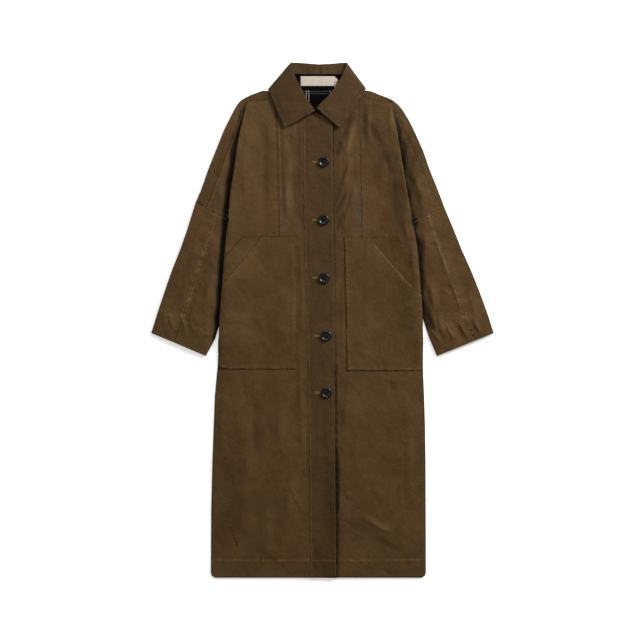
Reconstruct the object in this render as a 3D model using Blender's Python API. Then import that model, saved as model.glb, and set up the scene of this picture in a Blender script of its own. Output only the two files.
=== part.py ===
"""A waxed cotton duster coat, laid flat on its back with the front up and the collar towards +Y.

Sizes are in millimetres and become metres when a mesh is made. X runs across the coat, Y up its length,
Z off the surface it lies on. Left and right are as seen from above. Every cloth piece is a sheet through
the middle of its wall, and a Solidify modifier gives the wall.
"""

import math
from collections import namedtuple

import bmesh
import bpy
from mathutils import Vector, geometry
from mathutils.bvhtree import BVHTree

MM = 0.001

# Cloth and the layers it lies in
CLOTH = 1.2
GAP = 0.3
STEP_UP = CLOTH + GAP
FLOOR_LAYER = CLOTH / 2
TOP_LAYER = 3.2
TURN_RADIUS = (TOP_LAYER - FLOOR_LAYER) / 2
OVERLAP_RISE = 1.8
SEAM_GAP = 0.4

# Length and width of the whole coat
HALF_LENGTH = 629.0
HEM = -HALF_LENGTH
CUFF_REACH = 417.9

# Armhole pleat and the sleeve that lies under the side of the body
PLEAT_PITCH_TOP = 1.7
PLEAT_PITCH = 4.2
PLEAT_DEPTH_TOP = 6.0
PLEAT_DEPTH = 38.0
PLEAT_TOP = 527.0
PLEAT_BOTTOM = {"left": 247.0, "right": 242.0}
PLEAT_OPENS_OVER = 110.0
PLEAT_DEEPENS_OVER = 285.0
PLEAT_LEAN = 0.32
PLATEAU_SPARE = 8.0
FALL_WIDTH = 45.0
SIDE_CLOSURE = 8.0
BACK_OVER_SLEEVE = 6.5
UNDERARM_FADE = 32.0
SLEEVE_END = -25.0
STRIP_MARGIN = 15.0
NECK_RISE = 1.8
FALL_LINES = (515.0, 545.0)
FALL_REACH = (-150.0, 125.0)
FALL_FADE = 30.0
SLEEVE_CROWN = 2.2

# Distances between the points of a sheet
STEP_ACROSS = 22.0
STEP_ALONG = 38.0
EDGE_STEP = 38.0

SideRow = namedtuple("SideRow", "y left right")
SIDE_EDGE = [
    SideRow(527.5, -187.5, 169.5),
    SideRow(490, -195, 177),
    SideRow(437, -206, 185),
    SideRow(390, -212, 193),
    SideRow(315, -224, 206),
    SideRow(246, -230.5, 218),
    SideRow(176, -237, 230.5),
    SideRow(71, -245, 239.5),
    SideRow(-12, -251.5, 244.5),
    SideRow(-120, -256, 245),
    SideRow(-171, -262, 247.5),
    SideRow(-244, -265, 250),
    SideRow(-342, -268.5, 251.5),
    SideRow(-464, -271.5, 252),
    SideRow(-620, -272.5, 252.5),
]

# Where the edge of the sleeve runs under the body, and then on to the cuff
UNDER_EDGE = [
    SideRow(237, -203, 191),
    SideRow(160, -216, 206),
    SideRow(70, -232, 226),
    SideRow(-26, -252.5, 247),
    SideRow(-88, -284, 279.5),
]

# The back turns over the arm and the shoulder: its outer edge, and the seam that it reaches on the front
WrapRow = namedtuple("WrapRow", "edge_x edge_y seam_x seam_y")
WRAP_LEFT = [
    WrapRow(-310.5, 284.6, -284.3, 273.1),
    WrapRow(-296.5, 317.2, -272, 306),
    WrapRow(-279.4, 366, -252, 357),
    WrapRow(-260, 414.8, -235.5, 407),
    WrapRow(-240.3, 463.6, -215, 457),
    WrapRow(-228, 488, -206, 483),
    WrapRow(-216, 512.4, -198, 509),
    WrapRow(-207, 528, -191.5, 523.5),
    WrapRow(-199, 536.8, -188, 530.5),
    WrapRow(-188, 543.5, -181, 533.5),
    WrapRow(-177, 549, -172, 534.8),
    WrapRow(-145, 560.5, -145, 536.7),
    WrapRow(-130, 558.5, -134, 537.3),
    WrapRow(-106, 577, -118, 549),
    WrapRow(-83, 594.5, -98, 572),
]
WRAP_RIGHT = [
    WrapRow(297, 277, 286, 272.2),
    WrapRow(282, 317.2, 268, 313),
    WrapRow(262.3, 366, 246, 360),
    WrapRow(245.2, 414.8, 224, 409),
    WrapRow(223.3, 463.6, 202, 458),
    WrapRow(211, 488, 191, 483),
    WrapRow(196.4, 512.4, 180, 507),
    WrapRow(186, 525, 173.5, 521),
    WrapRow(172, 536.8, 169, 531),
    WrapRow(158, 543.5, 158, 534.6),
    WrapRow(142.7, 549, 143, 536),
    WrapRow(117, 559, 118, 538.5),
    WrapRow(103, 561, 106, 540.5),
    WrapRow(81, 580, 91, 555),
    WrapRow(59, 594.5, 74, 573),
]
TIP_ROW = 8

# Corner of the back under each arm, and the point on the body edge where the side seam starts
UNDERARM_LEFT = (-178.0, 226.0)
UNDERARM_RIGHT = (168.0, 219.0)
SIDE_SEAM_TOP = 238.0
UNDERARM_SPAN = 50.0
UNDERARM_SHARE = 0.15
SLEEVE_END_FADE = 60.0

SleeveRow = namedtuple("SleeveRow", "outer_x outer_y seam_x seam_y inner_x inner_y")
SLEEVE_LEFT = [
    SleeveRow(-310.5, 284.6, -260, 262.4, -203, 237.5),
    SleeveRow(-330.6, 219.6, -280, 197, -214, 172),
    SleeveRow(-347.7, 170.8, -297, 146, -223, 118),
    SleeveRow(-367.2, 122, -312, 97, -235, 58),
    SleeveRow(-384.3, 73.2, -327, 48, -245, 10),
    SleeveRow(-402, 20, -345, -5, -262, -45),
    SleeveRow(-CUFF_REACH, -31.7, -362, -55, -284.3, -87.8),
]
SLEEVE_RIGHT = [
    SleeveRow(297, 277, 257.4, 259.4, 191, 229.8),
    SleeveRow(320.9, 219.6, 277, 199, 204, 168),
    SleeveRow(340.4, 170.8, 294, 150, 215, 115),
    SleeveRow(362.3, 122, 312, 101, 229, 60),
    SleeveRow(381.9, 73.2, 330, 53, 243, 10),
    SleeveRow(401.4, 20, 349, 0, 260, -42),
    SleeveRow(CUFF_REACH, -31.7, 371, -51, 279.4, -87.8),
]

# The placket on the front that overlaps: its stitched edge, and the free edge of that front
PlacketRow = namedtuple("PlacketRow", "y stitched free")
PLACKET = [
    PlacketRow(508, -45.5, 24.5),
    PlacketRow(205, -44, 27.5),
    PlacketRow(49, -39, 30),
    PlacketRow(-127, -33.5, 31),
    PlacketRow(-390, -30.5, 32.2),
    PlacketRow(HEM, -27.5, 34.2),
]
RAMP_WIDTH = 18.0
UNDERLAP_INSET = 5.0

# How far the free edge of the overlapping front stands off the front under it
EdgeLift = namedtuple("EdgeLift", "y lift")
EDGE_LIFT = [
    EdgeLift(508, 0.4),
    EdgeLift(430, 1.5),
    EdgeLift(385, 0.7),
    EdgeLift(320, 1.4),
    EdgeLift(244, 0.7),
    EdgeLift(170, 1.4),
    EdgeLift(102, 0.7),
    EdgeLift(30, 1.5),
    EdgeLift(-39, 0.8),
    EdgeLift(-110, 1.8),
    EdgeLift(-178, 0.9),
    EdgeLift(-260, 3.0),
    EdgeLift(-370, 6.4),
    EdgeLift(-450, 6.6),
    EdgeLift(-530, 4.2),
    EdgeLift(HEM, 2.0),
]
EDGE_LIFT_WIDTH = 46.0

NECK_EDGE_LEFT = [(-12, 503.5), (-36, 507), (-60, 522), (-80, 545), (-93, 563)]
NECK_EDGE_RIGHT = [(-18, 502), (8, 505), (32, 520), (54, 544), (68, 563)]

# Patch pockets: corners of the backing and the ends of the slanted opening
Pocket = namedtuple("Pocket", "inner_x top outer_x slant_end inner_x_low bottom open_top open_end")
POCKET_LEFT = Pocket(-66, 204, -194, (-236.7, 155), -64, -119.5, (-147.6, 204), (-243, 86.5))
POCKET_RIGHT = Pocket(53.5, 202.5, 179, (234, 143), 60, -123, (110, 202.5), (237, 60))

# Large soft folds of the fronts: a ridge from start to end, its half width and its height
Fold = namedtuple("Fold", "x0 y0 x1 y1 half_width height")
FOLDS_LEFT = [
    Fold(-78, 500, -70, 250, 16, 1.5),
    Fold(-120, 470, -112, 300, 20, 1.1),
    Fold(-150, -180, -170, -600, 34, 1.3),
    Fold(-90, -170, -84, -520, 24, 1.1),
]
FOLDS_RIGHT = [
    Fold(62, 470, 66, 240, 15, 1.7),
    Fold(100, 500, 92, 300, 18, 1.2),
    Fold(66, -150, 150, -540, 36, 1.5),
    Fold(190, -200, 196, -600, 30, 1.0),
]

# Collar leaf: fold line and outer edge at each station, from a front end to the middle of the back
LeafRow = namedtuple("LeafRow", "fold_x fold_y edge_x edge_y fold_z edge_z")
LEAF_LEFT = [
    LeafRow(-17.6, 509.5, -93.5, 468, 13.2, 6.4),
    LeafRow(-39, 539.5, -103.6, 492, 13.6, 6.2),
    LeafRow(-54.4, 569.5, -113.4, 516, 13.6, 6.8),
    LeafRow(-68.5, 597, -122.5, 538, 13.0, 7.6),
    LeafRow(-74, 618.5, -129, 554.5, 11.6, 7.8),
    LeafRow(-76, 627.2, -132.2, 561.2, 8.0, 5.8),
    LeafRow(-76.6, 628.6, -133, 562.6, 4.6, 3.6),
    LeafRow(-75, 628.8, -130.8, 560.6, 1.6, 1.2),
    LeafRow(-66, 628.8, -122, 553, 0.9, 0.6),
    LeafRow(-40, 627, -75, 550, 0.9, 0.6),
]
LEAF_RIGHT = [
    LeafRow(-15.9, 515.8, 41.5, 468, 15.4, 8.4),
    LeafRow(12.5, 544, 57.8, 492, 14.4, 7.4),
    LeafRow(34.5, 572, 74, 516, 13.8, 6.8),
    LeafRow(49.5, 599, 90.5, 540.5, 13.0, 7.6),
    LeafRow(57, 619.5, 101.5, 557, 11.6, 7.8),
    LeafRow(58.4, 627, 105.4, 563.4, 8.0, 5.8),
    LeafRow(58.9, 628.4, 106.1, 564.9, 4.6, 3.6),
    LeafRow(57.2, 628.6, 104, 563, 1.6, 1.2),
    LeafRow(48, 628.4, 96, 556, 0.9, 0.6),
    LeafRow(22, 626, 52, 551, 0.9, 0.6),
]
LEAF_BACK = LeafRow(-9, 624.5, -12, 550, 0.9, 0.6)

# Collar stand: top edge under the fold of the leaf, and the seam on the neck edge
StandRow = namedtuple("StandRow", "top_x top_y seam_x seam_y top_z seam_z")
STAND_LEFT = [
    StandRow(-20.5, 510.5, -37, 499, 11.3, 8.0),
    StandRow(-41, 539, -64, 526, 11.6, 6.6),
    StandRow(-56.2, 568, -80, 552, 11.6, 7.4),
    StandRow(-69.5, 594.5, -92, 577, 11.0, 7.6),
    StandRow(-72.5, 611, -90, 596, 9.6, 7.2),
    StandRow(-72, 620, -82, 599.5, 7.6, 5.6),
    StandRow(-65, 624.5, -66, 597.5, 4.6, 4.5),
    StandRow(-40, 624, -40, 597.5, 3.2, 4.4),
]
STAND_RIGHT = [
    StandRow(-13.5, 517, 2.5, 503, 13.5, 9.6),
    StandRow(14, 544, 34, 527, 12.5, 8.4),
    StandRow(36, 571, 56, 552, 12.0, 7.4),
    StandRow(50.5, 596, 70, 578, 11.0, 7.6),
    StandRow(55, 613, 68, 596, 9.6, 7.2),
    StandRow(54, 620, 63, 599.5, 7.6, 5.6),
    StandRow(47, 624, 48, 597.5, 4.6, 4.5),
    StandRow(22, 623, 22, 597.5, 3.2, 4.4),
]
STAND_BACK = StandRow(-9, 621.5, -9, 597.5, 3.0, 4.4)

NECK_LINING = [
    (-77, 596.5), (54, 596.5), (54, 576), (42, 552), (22, 529), (-4, 508), (-22, 507), (-50, 540), (-66, 566),
    (-76, 584),
]
LABEL = [(-54, 594.6), (29, 594.6), (29, 571), (-54, 571)]
LABEL_TAIL = [(29.4, 594.4), (38.5, 584.5), (28, 562), (29.4, 570.6)]
LABEL_CLOTH = 1.0

ButtonRow = namedtuple("ButtonRow", "x y")
BUTTONS = [
    ButtonRow(2.9, 385.5),
    ButtonRow(2.4, 244),
    ButtonRow(3.7, 102.5),
    ButtonRow(8.5, -39),
    ButtonRow(9.3, -177.6),
]
BUTTON_RADIUS = 13.2
BUTTON_SIDES = 20
BUTTON_HEIGHT = 3.6
BUTTON_DISH = 2.3
BUTTON_HOLE_RADIUS = 1.1
BUTTON_HOLE_SPACING = 2.4

WAXED_COTTON = {"name": "waxed_cotton", "color": (0.075, 0.045, 0.018), "roughness": 0.62, "metallic": 0.0}
LINING = {"name": "check_lining", "color": (0.008, 0.008, 0.009), "roughness": 0.7, "metallic": 0.0}
LABEL_FABRIC = {"name": "label_cream", "color": (0.55, 0.47, 0.32), "roughness": 0.75, "metallic": 0.0}
BUTTON_RESIN = {"name": "button_black", "color": (0.008, 0.007, 0.006), "roughness": 0.18, "metallic": 0.0}


def smooth(t):
    t = min(max(t, 0.0), 1.0)
    return t * t * (3 - 2 * t)


def read_table(rows, key, column, at):
    """The named column, read straight between the rows on either side of a place; keys may rise or fall."""
    ordered = sorted(rows, key=lambda row: getattr(row, key))
    if at <= getattr(ordered[0], key):
        return getattr(ordered[0], column)
    for low, high in zip(ordered, ordered[1:]):
        if at <= getattr(high, key):
            part = (at - getattr(low, key)) / (getattr(high, key) - getattr(low, key))
            return getattr(low, column) + part * (getattr(high, column) - getattr(low, column))
    return getattr(ordered[-1], column)


def side_x(y, side):
    return read_table(SIDE_EDGE, "y", side, y)


def from_side(x, y, side):
    """How far a point lies in from the side edge of the body."""
    return x - side_x(y, "left") if side == "left" else side_x(y, "right") - x


def from_under_edge(x, y, side):
    edge = read_table(UNDER_EDGE, "y", side, y)
    return x - edge if side == "left" else edge - x


def neck_lift(x, y):
    """The fall of the collar lies under the back here, and lifts everything that is on it."""
    middle = sum(FALL_REACH) / 2
    across = smooth((FALL_REACH[1] - middle + FALL_FADE - abs(x - middle)) / FALL_FADE)
    return NECK_RISE * smooth((y - FALL_LINES[0]) / (FALL_LINES[1] - FALL_LINES[0])) * across


def side_of(x):
    return "left" if x < -10 else "right"


def back_over_sleeve(x, y):
    """Rise of the back where the sleeve lies under the side of the body."""
    side = side_of(x)
    corner = UNDERARM_LEFT if side == "left" else UNDERARM_RIGHT
    outward = corner[0] - x if side == "left" else x - corner[0]
    slope = (SIDE_SEAM_TOP - corner[1]) / UNDERARM_SPAN
    inward = smooth(1 - (from_under_edge(x, y, side) - 2) / UNDERARM_FADE)
    if y > corner[1] + slope * max(outward, 0) + 1:
        near = 1 - math.dist((x, y), corner) / UNDERARM_FADE
        return UNDERARM_SHARE * BACK_OVER_SLEEVE * smooth(near)
    return BACK_OVER_SLEEVE * inward * smooth(1 - (SLEEVE_END - STRIP_MARGIN - y) / SLEEVE_END_FADE)


def back_z(x, y):
    return FLOOR_LAYER + back_over_sleeve(x, y) + neck_lift(x, y)


def pleat_pitch(y):
    return PLEAT_PITCH_TOP + (PLEAT_PITCH - PLEAT_PITCH_TOP) * smooth((PLEAT_TOP - y) / PLEAT_OPENS_OVER)


def pleat_depth(y):
    part = min(max((PLEAT_TOP - y) / PLEAT_DEEPENS_OVER, 0), 1)
    return PLEAT_DEPTH_TOP + (PLEAT_DEPTH - PLEAT_DEPTH_TOP) * part


def covered_width(y, side):
    """Width of the side strip that lies over the pleat, or over the sleeve below the underarm."""
    if y > SIDE_SEAM_TOP:
        return pleat_depth(y) + PLATEAU_SPARE
    strip = -from_under_edge(side_x(y, side), y, side)
    return max(strip, 4) + PLATEAU_SPARE + 6


def fold_ridges(x, y, folds):
    height = 0.0
    for fold in folds:
        run = Vector((fold.x1 - fold.x0, fold.y1 - fold.y0))
        offset = Vector((x - fold.x0, y - fold.y0))
        along = offset.dot(run) / run.length_squared
        across = (offset - run * along).length / fold.half_width
        ends = smooth(min(along, 1 - along) * 4 + 0.25) * (0 < along < 1)
        height += fold.height * smooth(1 - across) * ends
    return height


def stitched_x(y):
    return read_table(PLACKET, "y", "stitched", y)


def edge_lift(x, y):
    """The free edge of the placket stands off the front under it, more in some places than in others."""
    inset = read_table(PLACKET, "y", "free", y) - x
    return read_table(EDGE_LIFT, "y", "lift", y) * max(0.0, 1 - inset / EDGE_LIFT_WIDTH) ** 1.5


def front_z(x, y, side):
    """Middle of the wall of a front."""
    inset = from_side(x, y, side)
    rise = 2 * pleat_pitch(y) * smooth(1 - (SLEEVE_END + STRIP_MARGIN - y) / PLEAT_OPENS_OVER)
    profile = smooth(1 - (inset - covered_width(y, side)) / FALL_WIDTH)
    folds = FOLDS_LEFT if side == "left" else FOLDS_RIGHT
    z = TOP_LAYER + rise * profile + fold_ridges(x, y, folds)
    if side == "left":
        z += OVERLAP_RISE * smooth((x - stitched_x(y) + RAMP_WIDTH) / (RAMP_WIDTH - 2)) + edge_lift(x, y)
    if y < SIDE_SEAM_TOP and inset < SIDE_CLOSURE:
        seam = back_z(side_x(y, side), y) + STEP_UP
        z = seam + (z - seam) * max(inset, 0) / SIDE_CLOSURE
    return z + neck_lift(x, y)


def upper_z(x, y):
    """Middle of the wall of an upper layer that lies beside the body."""
    return TOP_LAYER + neck_lift(x, y)


class Sheet:
    """A surface through the middle of a wall: points in millimetres, faces anticlockwise from outside."""

    def __init__(self, points, faces):
        self.points = [Vector(point) for point in points]
        self.faces = [tuple(face) for face in faces]

    def mesh(self):
        """A bmesh of the sheet, in millimetres, with only the points that its faces use."""
        built = bmesh.new()
        made = {i: built.verts.new(self.points[i]) for i in sorted({i for face in self.faces for i in face})}
        for face in self.faces:
            built.faces.new([made[i] for i in face])
        built.normal_update()
        return built

    def normals(self):
        totals = [Vector((0, 0, 0)) for _ in self.points]
        for face in self.faces:
            corner = [self.points[i] for i in face]
            turn = (corner[1] - corner[0]).cross(corner[-1] - corner[0])
            for i in face:
                totals[i] += turn
        return [total.normalized() if total.length else Vector((0, 0, 1)) for total in totals]

    def raised(self, distance, keep=lambda x, y: True):
        """The part of the sheet whose faces a test keeps, moved out along the sheet's own normals."""
        normals = self.normals()
        points = [point + normal * distance for point, normal in zip(self.points, normals)]
        faces = []
        for face in self.faces:
            middle = sum((self.points[i] for i in face), Vector()) / len(face)
            facing_up = all(normals[i].z > 0.5 for i in face)
            if facing_up and keep(middle.x, middle.y):
                faces.append(face)
        return Sheet(points, faces)


def material(look):
    made = bpy.data.materials.get(look["name"])
    if made is None:
        made = bpy.data.materials.new(look["name"])
        made.use_nodes = True
        shader = made.node_tree.nodes["Principled BSDF"]
        shader.inputs["Base Color"].default_value = (*look["color"], 1)
        shader.inputs["Roughness"].default_value = look["roughness"]
        shader.inputs["Metallic"].default_value = look["metallic"]
    return made


def cloth_piece(name, sheet, look=WAXED_COTTON, thickness=CLOTH):
    """An object of the sheet, which a Solidify modifier makes a wall as thick below as above it."""
    built = sheet.mesh()
    bmesh.ops.scale(built, vec=(MM, MM, MM), verts=built.verts)
    mesh = bpy.data.meshes.new(name)
    built.to_mesh(mesh)
    built.free()
    mesh.materials.append(material(look))
    mesh.shade_smooth()
    piece = bpy.data.objects.new(name, mesh)
    bpy.context.scene.collection.objects.link(piece)
    wall = piece.modifiers.new("wall", "SOLIDIFY")
    wall.thickness = thickness * MM
    wall.offset = 0
    return piece


def spaced(line, step=EDGE_STEP):
    """The line with points added so that no two are further apart than the step."""
    points = [Vector(line[0])]
    for start, end in zip(line, line[1:]):
        start, end = Vector(start), Vector(end)
        count = max(1, math.ceil((end - start).length / step))
        points += [start.lerp(end, k / count) for k in range(1, count + 1)]
    return points


def inside(point, outline):
    found = False
    for a, b in zip(outline, outline[1:] + outline[:1]):
        if (a[1] > point[1]) != (b[1] > point[1]):
            if point[0] < a[0] + (point[1] - a[1]) / (b[1] - a[1]) * (b[0] - a[0]):
                found = not found
    return found


def clear_of(point, runs, distance):
    for a, b in runs:
        run = b - a
        along = min(max((point - a).dot(run) / run.length_squared, 0), 1)
        if (a + run * along - point).length < distance:
            return False
    return True


def filled(outline, height, lines=(), across=STEP_ACROSS, along=STEP_ALONG):
    """A sheet that fills an outline, with edges on each line and an even grid of points between them."""
    places = [Vector(point) for point in outline]
    runs = list(zip(places, places[1:] + places[:1]))
    edges = []
    for line in lines:
        first = len(places)
        places += [Vector(point) for point in line]
        edges += [(i, i + 1) for i in range(first, len(places) - 1)]
        runs += [(places[i], places[i + 1]) for i in range(first, len(places) - 1)]
    left, right = min(p.x for p in places), max(p.x for p in places)
    low, high = min(p.y for p in places), max(p.y for p in places)
    for row in range(1, int((high - low) / along) + 1):
        for column in range(1, int((right - left) / across) + 1):
            point = Vector((left + (column + row % 2 / 2) * across, low + row * along))
            if inside(point, outline) and clear_of(point, runs, across * 0.45):
                places.append(point)
    ring = list(range(len(outline)))
    points, _, faces, *_ = geometry.delaunay_2d_cdt(places, edges, [ring], 1, 0.05)
    wound = []
    for face in faces:
        a, b, c = (points[i] for i in face)
        turn = (b - a).cross(c - a)
        wound.append(tuple(face) if turn > 0 else tuple(reversed(face)))
    return Sheet([(p.x, p.y, height(p.x, p.y)) for p in points], wound)


def nearest(sheet, place):
    return min(range(len(sheet.points)), key=lambda i: (sheet.points[i].xy - Vector(place)).length_squared)


def add_strip(sheet, first, rows):
    """Joins a strip of sections to the edge of a sheet. Each section starts at the sheet's own point."""
    steps = {step for face in sheet.faces for step in zip(face, face[1:] + face[:1])}
    follows = (first[0], first[1]) in steps
    grid = []
    for start, row in zip(first, rows):
        line = [start]
        for point in row:
            line.append(len(sheet.points))
            sheet.points.append(Vector(point))
        grid.append(line)
    for low, high in zip(grid, grid[1:]):
        for j in range(len(low) - 1):
            face = (low[j], low[j + 1], high[j + 1], high[j])
            sheet.faces.append(face if follows else tuple(reversed(face)))


def lofted(rows, flip=False):
    """A sheet through rows of points."""
    width = len(rows[0])
    points = [point for row in rows for point in row]
    faces = []
    for i in range(len(rows) - 1):
        for j in range(width - 1):
            a = i * width + j
            face = (a, a + 1, a + width + 1, a + width)
            faces.append(tuple(reversed(face)) if flip else face)
    return Sheet(points, faces)


TURN_STEPS = (60, 20, -20, -60, -90)


def turned(centre, outward, z, radius, angles):
    """Points round a fold: the centre in plan, its direction in plan, its height and its radius."""
    points = []
    for angle in angles:
        reach = radius * math.cos(math.radians(angle))
        place = centre + outward * reach
        points.append((place.x, place.y, z + radius * math.sin(math.radians(angle))))
    return points


def inset_wrap(row):
    """Where the flat part of the back ends, so that the turned cloth reaches the row's outer edge."""
    edge, seam = Vector((row.edge_x, row.edge_y)), Vector((row.seam_x, row.seam_y))
    outward = (edge - seam).normalized()
    return edge - outward * (TURN_RADIUS + CLOTH / 2), seam, outward


def back_outline(wrap_left, wrap_right):
    left_body = [(side_x(y, "left"), y) for y in side_heights()]
    right_body = [(side_x(y, "right"), y) for y in side_heights()]
    outline = [*spaced([(-262, HEM), (242, HEM)]), (250.5, HEM + 5)]
    outline += right_body[::-1]
    outline += spaced([(side_x(SIDE_SEAM_TOP - 7, "right"), SIDE_SEAM_TOP - 7), UNDERARM_RIGHT], 30)
    outline += spaced([(200, 233.6), (286, 272.2)], 30)[:-1]
    outline += [(286, 272.2)] + wrap_right
    outline += spaced([(48, 601), (-72, 601)])
    outline += wrap_left[::-1]
    outline += [(-284.3, 273.1)] + spaced([(-284.3, 273.1), (-212, 241.4)], 30)[1:]
    outline += spaced([UNDERARM_LEFT, (side_x(SIDE_SEAM_TOP, "left"), SIDE_SEAM_TOP)], 30)
    outline += left_body + [(-270.5, HEM + 5)]
    return [Vector(point) for point in outline]


def side_heights():
    """Heights of the points down the free side of the body, from the side seam's top to the hem."""
    count = 23
    top, bottom = SIDE_SEAM_TOP - 24, HEM + 14
    return [top + (bottom - top) * k / count for k in range(count + 1)]


def make_back():
    rims = {}
    for side, table in (("left", WRAP_LEFT), ("right", WRAP_RIGHT)):
        rims[side] = [inset_wrap(row) for row in table]
    outline = back_outline([rim[0] for rim in rims["left"]], [rim[0] for rim in rims["right"]])
    lines = []
    for side in ("left", "right"):
        heights = [y for y in side_heights() if y > SLEEVE_END - 80]
        for inset in (2, 2 + UNDERARM_FADE):
            sign = 1 if side == "left" else -1
            edge = [(read_table(UNDER_EDGE, "y", side, y) + sign * inset, y) for y in heights]
            lines.append([place for place in edge if from_side(*place, side) > 4])
    for y in FALL_LINES:
        lines.append(spaced([(-150, y), (125, y)], 34))
    sheet = filled(outline, back_z, lines, across=34, along=48)
    for side in ("left", "right"):
        starts = [nearest(sheet, rim[0]) for rim in rims[side]]
        rows = []
        for edge, seam, outward in rims[side]:
            base = back_z(edge.x, edge.y)
            row = turned(edge, outward, base + TURN_RADIUS, TURN_RADIUS, (-60, -20, 20, 60, 90))
            for part in (0.5, 1.0):
                place = edge.lerp(seam, part)
                row.append((place.x, place.y, upper_z(place.x, place.y)))
            rows.append(row)
        add_strip(sheet, starts, rows)
    return cloth_piece("back", turned_over(sheet))


def turned_over(sheet):
    """The same sheet with its faces turned to the other side."""
    return Sheet(sheet.points, [tuple(reversed(face)) for face in sheet.faces])


def pleat_rows(side):
    """For each row of the arm seam from the shoulder tip down: fold point, tuck point, seam point, height."""
    table = WRAP_LEFT if side == "left" else WRAP_RIGHT
    seam = [Vector((row.seam_x, row.seam_y)) for row in table[TIP_ROW::-1]]
    rows = []
    for k, seam_point in enumerate(seam):
        part = k / (len(seam) - 1)
        y = PLEAT_TOP + (PLEAT_BOTTOM[side] - PLEAT_TOP) * part
        sign = 1 if side == "left" else -1
        radius = pleat_pitch(y) / 2
        fold = Vector((side_x(y, side) + sign * (radius + CLOTH / 2), y))
        inward = Vector((sign, -PLEAT_LEAN * part)).normalized()
        outward = (seam_point - fold).normalized() if k else Vector((-sign, 0))
        rows.append((fold, inward, pleat_depth(y), seam_point - outward * SEAM_GAP, y))
    return rows


def front_outline(side, pleat):
    """Round a front: neck edge from the centre, shoulder seam, pleat fold, side, hem and centre edge."""
    table = WRAP_LEFT if side == "left" else WRAP_RIGHT
    neck = NECK_EDGE_LEFT if side == "left" else NECK_EDGE_RIGHT
    shoulder = [(row.seam_x, row.seam_y - SEAM_GAP * 1.4) for row in table[:TIP_ROW:-1]]
    sign = 1 if side == "left" else -1
    outline = list(neck) + shoulder
    outline += [(row[0].x, row[0].y) for row in pleat]
    outline += [(side_x(y, side), y) for y in side_heights()]
    outline += [(side_x(HEM, side) + sign * 2, HEM + 5)]
    centre_heights = [HEM + (500 - HEM) * k / 30 for k in range(31)]
    if side == "left":
        centre = [(read_table(PLACKET, "y", "free", y), y) for y in centre_heights]
    else:
        centre = [(stitched_x(y) + UNDERLAP_INSET, y) for y in centre_heights]
    outline += spaced([(side_x(HEM, side) + sign * 10, HEM), centre[0]])[:-1]
    outline += centre
    return [Vector(point) for point in outline]


def pocket_corners(side):
    pocket = POCKET_LEFT if side == "left" else POCKET_RIGHT
    far = -400 if side == "left" else 400
    backing = [
        (pocket.inner_x, pocket.top),
        (pocket.outer_x, pocket.top),
        pocket.slant_end,
        (far, pocket.slant_end[1] - 60),
        (far, pocket.bottom),
        (pocket.inner_x_low, pocket.bottom),
    ]
    front = [
        (pocket.inner_x, pocket.top),
        pocket.open_top,
        pocket.open_end,
        (far, pocket.open_end[1] - 60),
        (far, pocket.bottom),
        (pocket.inner_x_low, pocket.bottom),
    ]
    return backing, front


def front_lines(side):
    """Lines that the points of a front follow: pockets, placket, and the rise of the side strip."""
    sign = 1 if side == "left" else -1
    pocket = POCKET_LEFT if side == "left" else POCKET_RIGHT
    bottom_x = side_x(pocket.bottom, side) - sign * 4
    lines = [
        spaced([
            (pocket.outer_x, pocket.top), (pocket.inner_x, pocket.top), (pocket.inner_x_low, pocket.bottom),
        ]),
        spaced([(pocket.inner_x_low, pocket.bottom), (bottom_x, pocket.bottom)]),
        spaced([(pocket.outer_x, pocket.top), pocket.slant_end]),
        spaced([pocket.open_top, pocket.open_end]),
    ]
    heights = [500 - 36 * k for k in range(18)]
    for spare in (0, FALL_WIDTH / 2, FALL_WIDTH):
        lines.append([(side_x(y, side) + sign * (covered_width(y, side) + spare), y) for y in heights])
    closure = [y for y in side_heights() if y > HEM + 20]
    lines.append([(side_x(y, side) + sign * SIDE_CLOSURE, y) for y in closure])
    if side == "left":
        heights = [*range(490, -600, -36), HEM - 5]
        for inset in (0, RAMP_WIDTH):
            lines.append([(stitched_x(y) - inset, y) for y in heights])
        for inset in (EDGE_LIFT_WIDTH * 0.4, EDGE_LIFT_WIDTH * 0.8):
            lines.append([(read_table(PLACKET, "y", "free", y) - inset, y) for y in heights])
    return lines


def make_front(side):
    """A front with its armhole pleat and the front of the upper sleeve. Returns its sheet too."""
    pleat = pleat_rows(side)
    sheet = filled(front_outline(side, pleat), lambda x, y: front_z(x, y, side), front_lines(side))
    starts, rows = [], []
    for fold, inward, depth, seam, y in pleat:
        start = nearest(sheet, fold)
        pitch = pleat_pitch(y)
        top = TOP_LAYER + 2 * pitch + neck_lift(fold.x, y)
        sheet.points[start].z = top
        tuck = fold + inward * depth
        row = turned(fold, -inward, top - pitch / 2, pitch / 2, TURN_STEPS)
        for part in (0.5, 1.0):
            place = fold.lerp(tuck, part)
            row.append((place.x, place.y, top - pitch))
        row += turned(tuck, inward, top - 1.5 * pitch, pitch / 2, TURN_STEPS)
        for part in (0.25, 0.5, 0.75, 1.0):
            place = tuck.lerp(seam, part)
            row.append((place.x, place.y, upper_z(place.x, place.y)))
        starts.append(start)
        rows.append(row)
    add_strip(sheet, starts, rows)
    cloth_piece(f"front_{side}", sheet)
    return sheet


def make_pocket(side, front):
    backing, layer = pocket_corners(side)
    cloth_piece(f"pocket_{side}_backing", front.raised(STEP_UP, lambda x, y: inside((x, y), backing)))
    cloth_piece(f"pocket_{side}_front", front.raised(2 * STEP_UP, lambda x, y: inside((x, y), layer)))


def make_placket(front):
    """The placket on its front. Returns its sheet too."""
    sheet = front.raised(STEP_UP, lambda x, y: x > stitched_x(y))
    cloth_piece("placket", sheet)
    return sheet


def sleeve_crown(part, row_number):
    """Soft rise of the top of the sleeve, none at the seam with the upper sleeve or at the edges."""
    return SLEEVE_CROWN * smooth(row_number / 1.5) * smooth(min(part, 1 - part) * 4)


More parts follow.
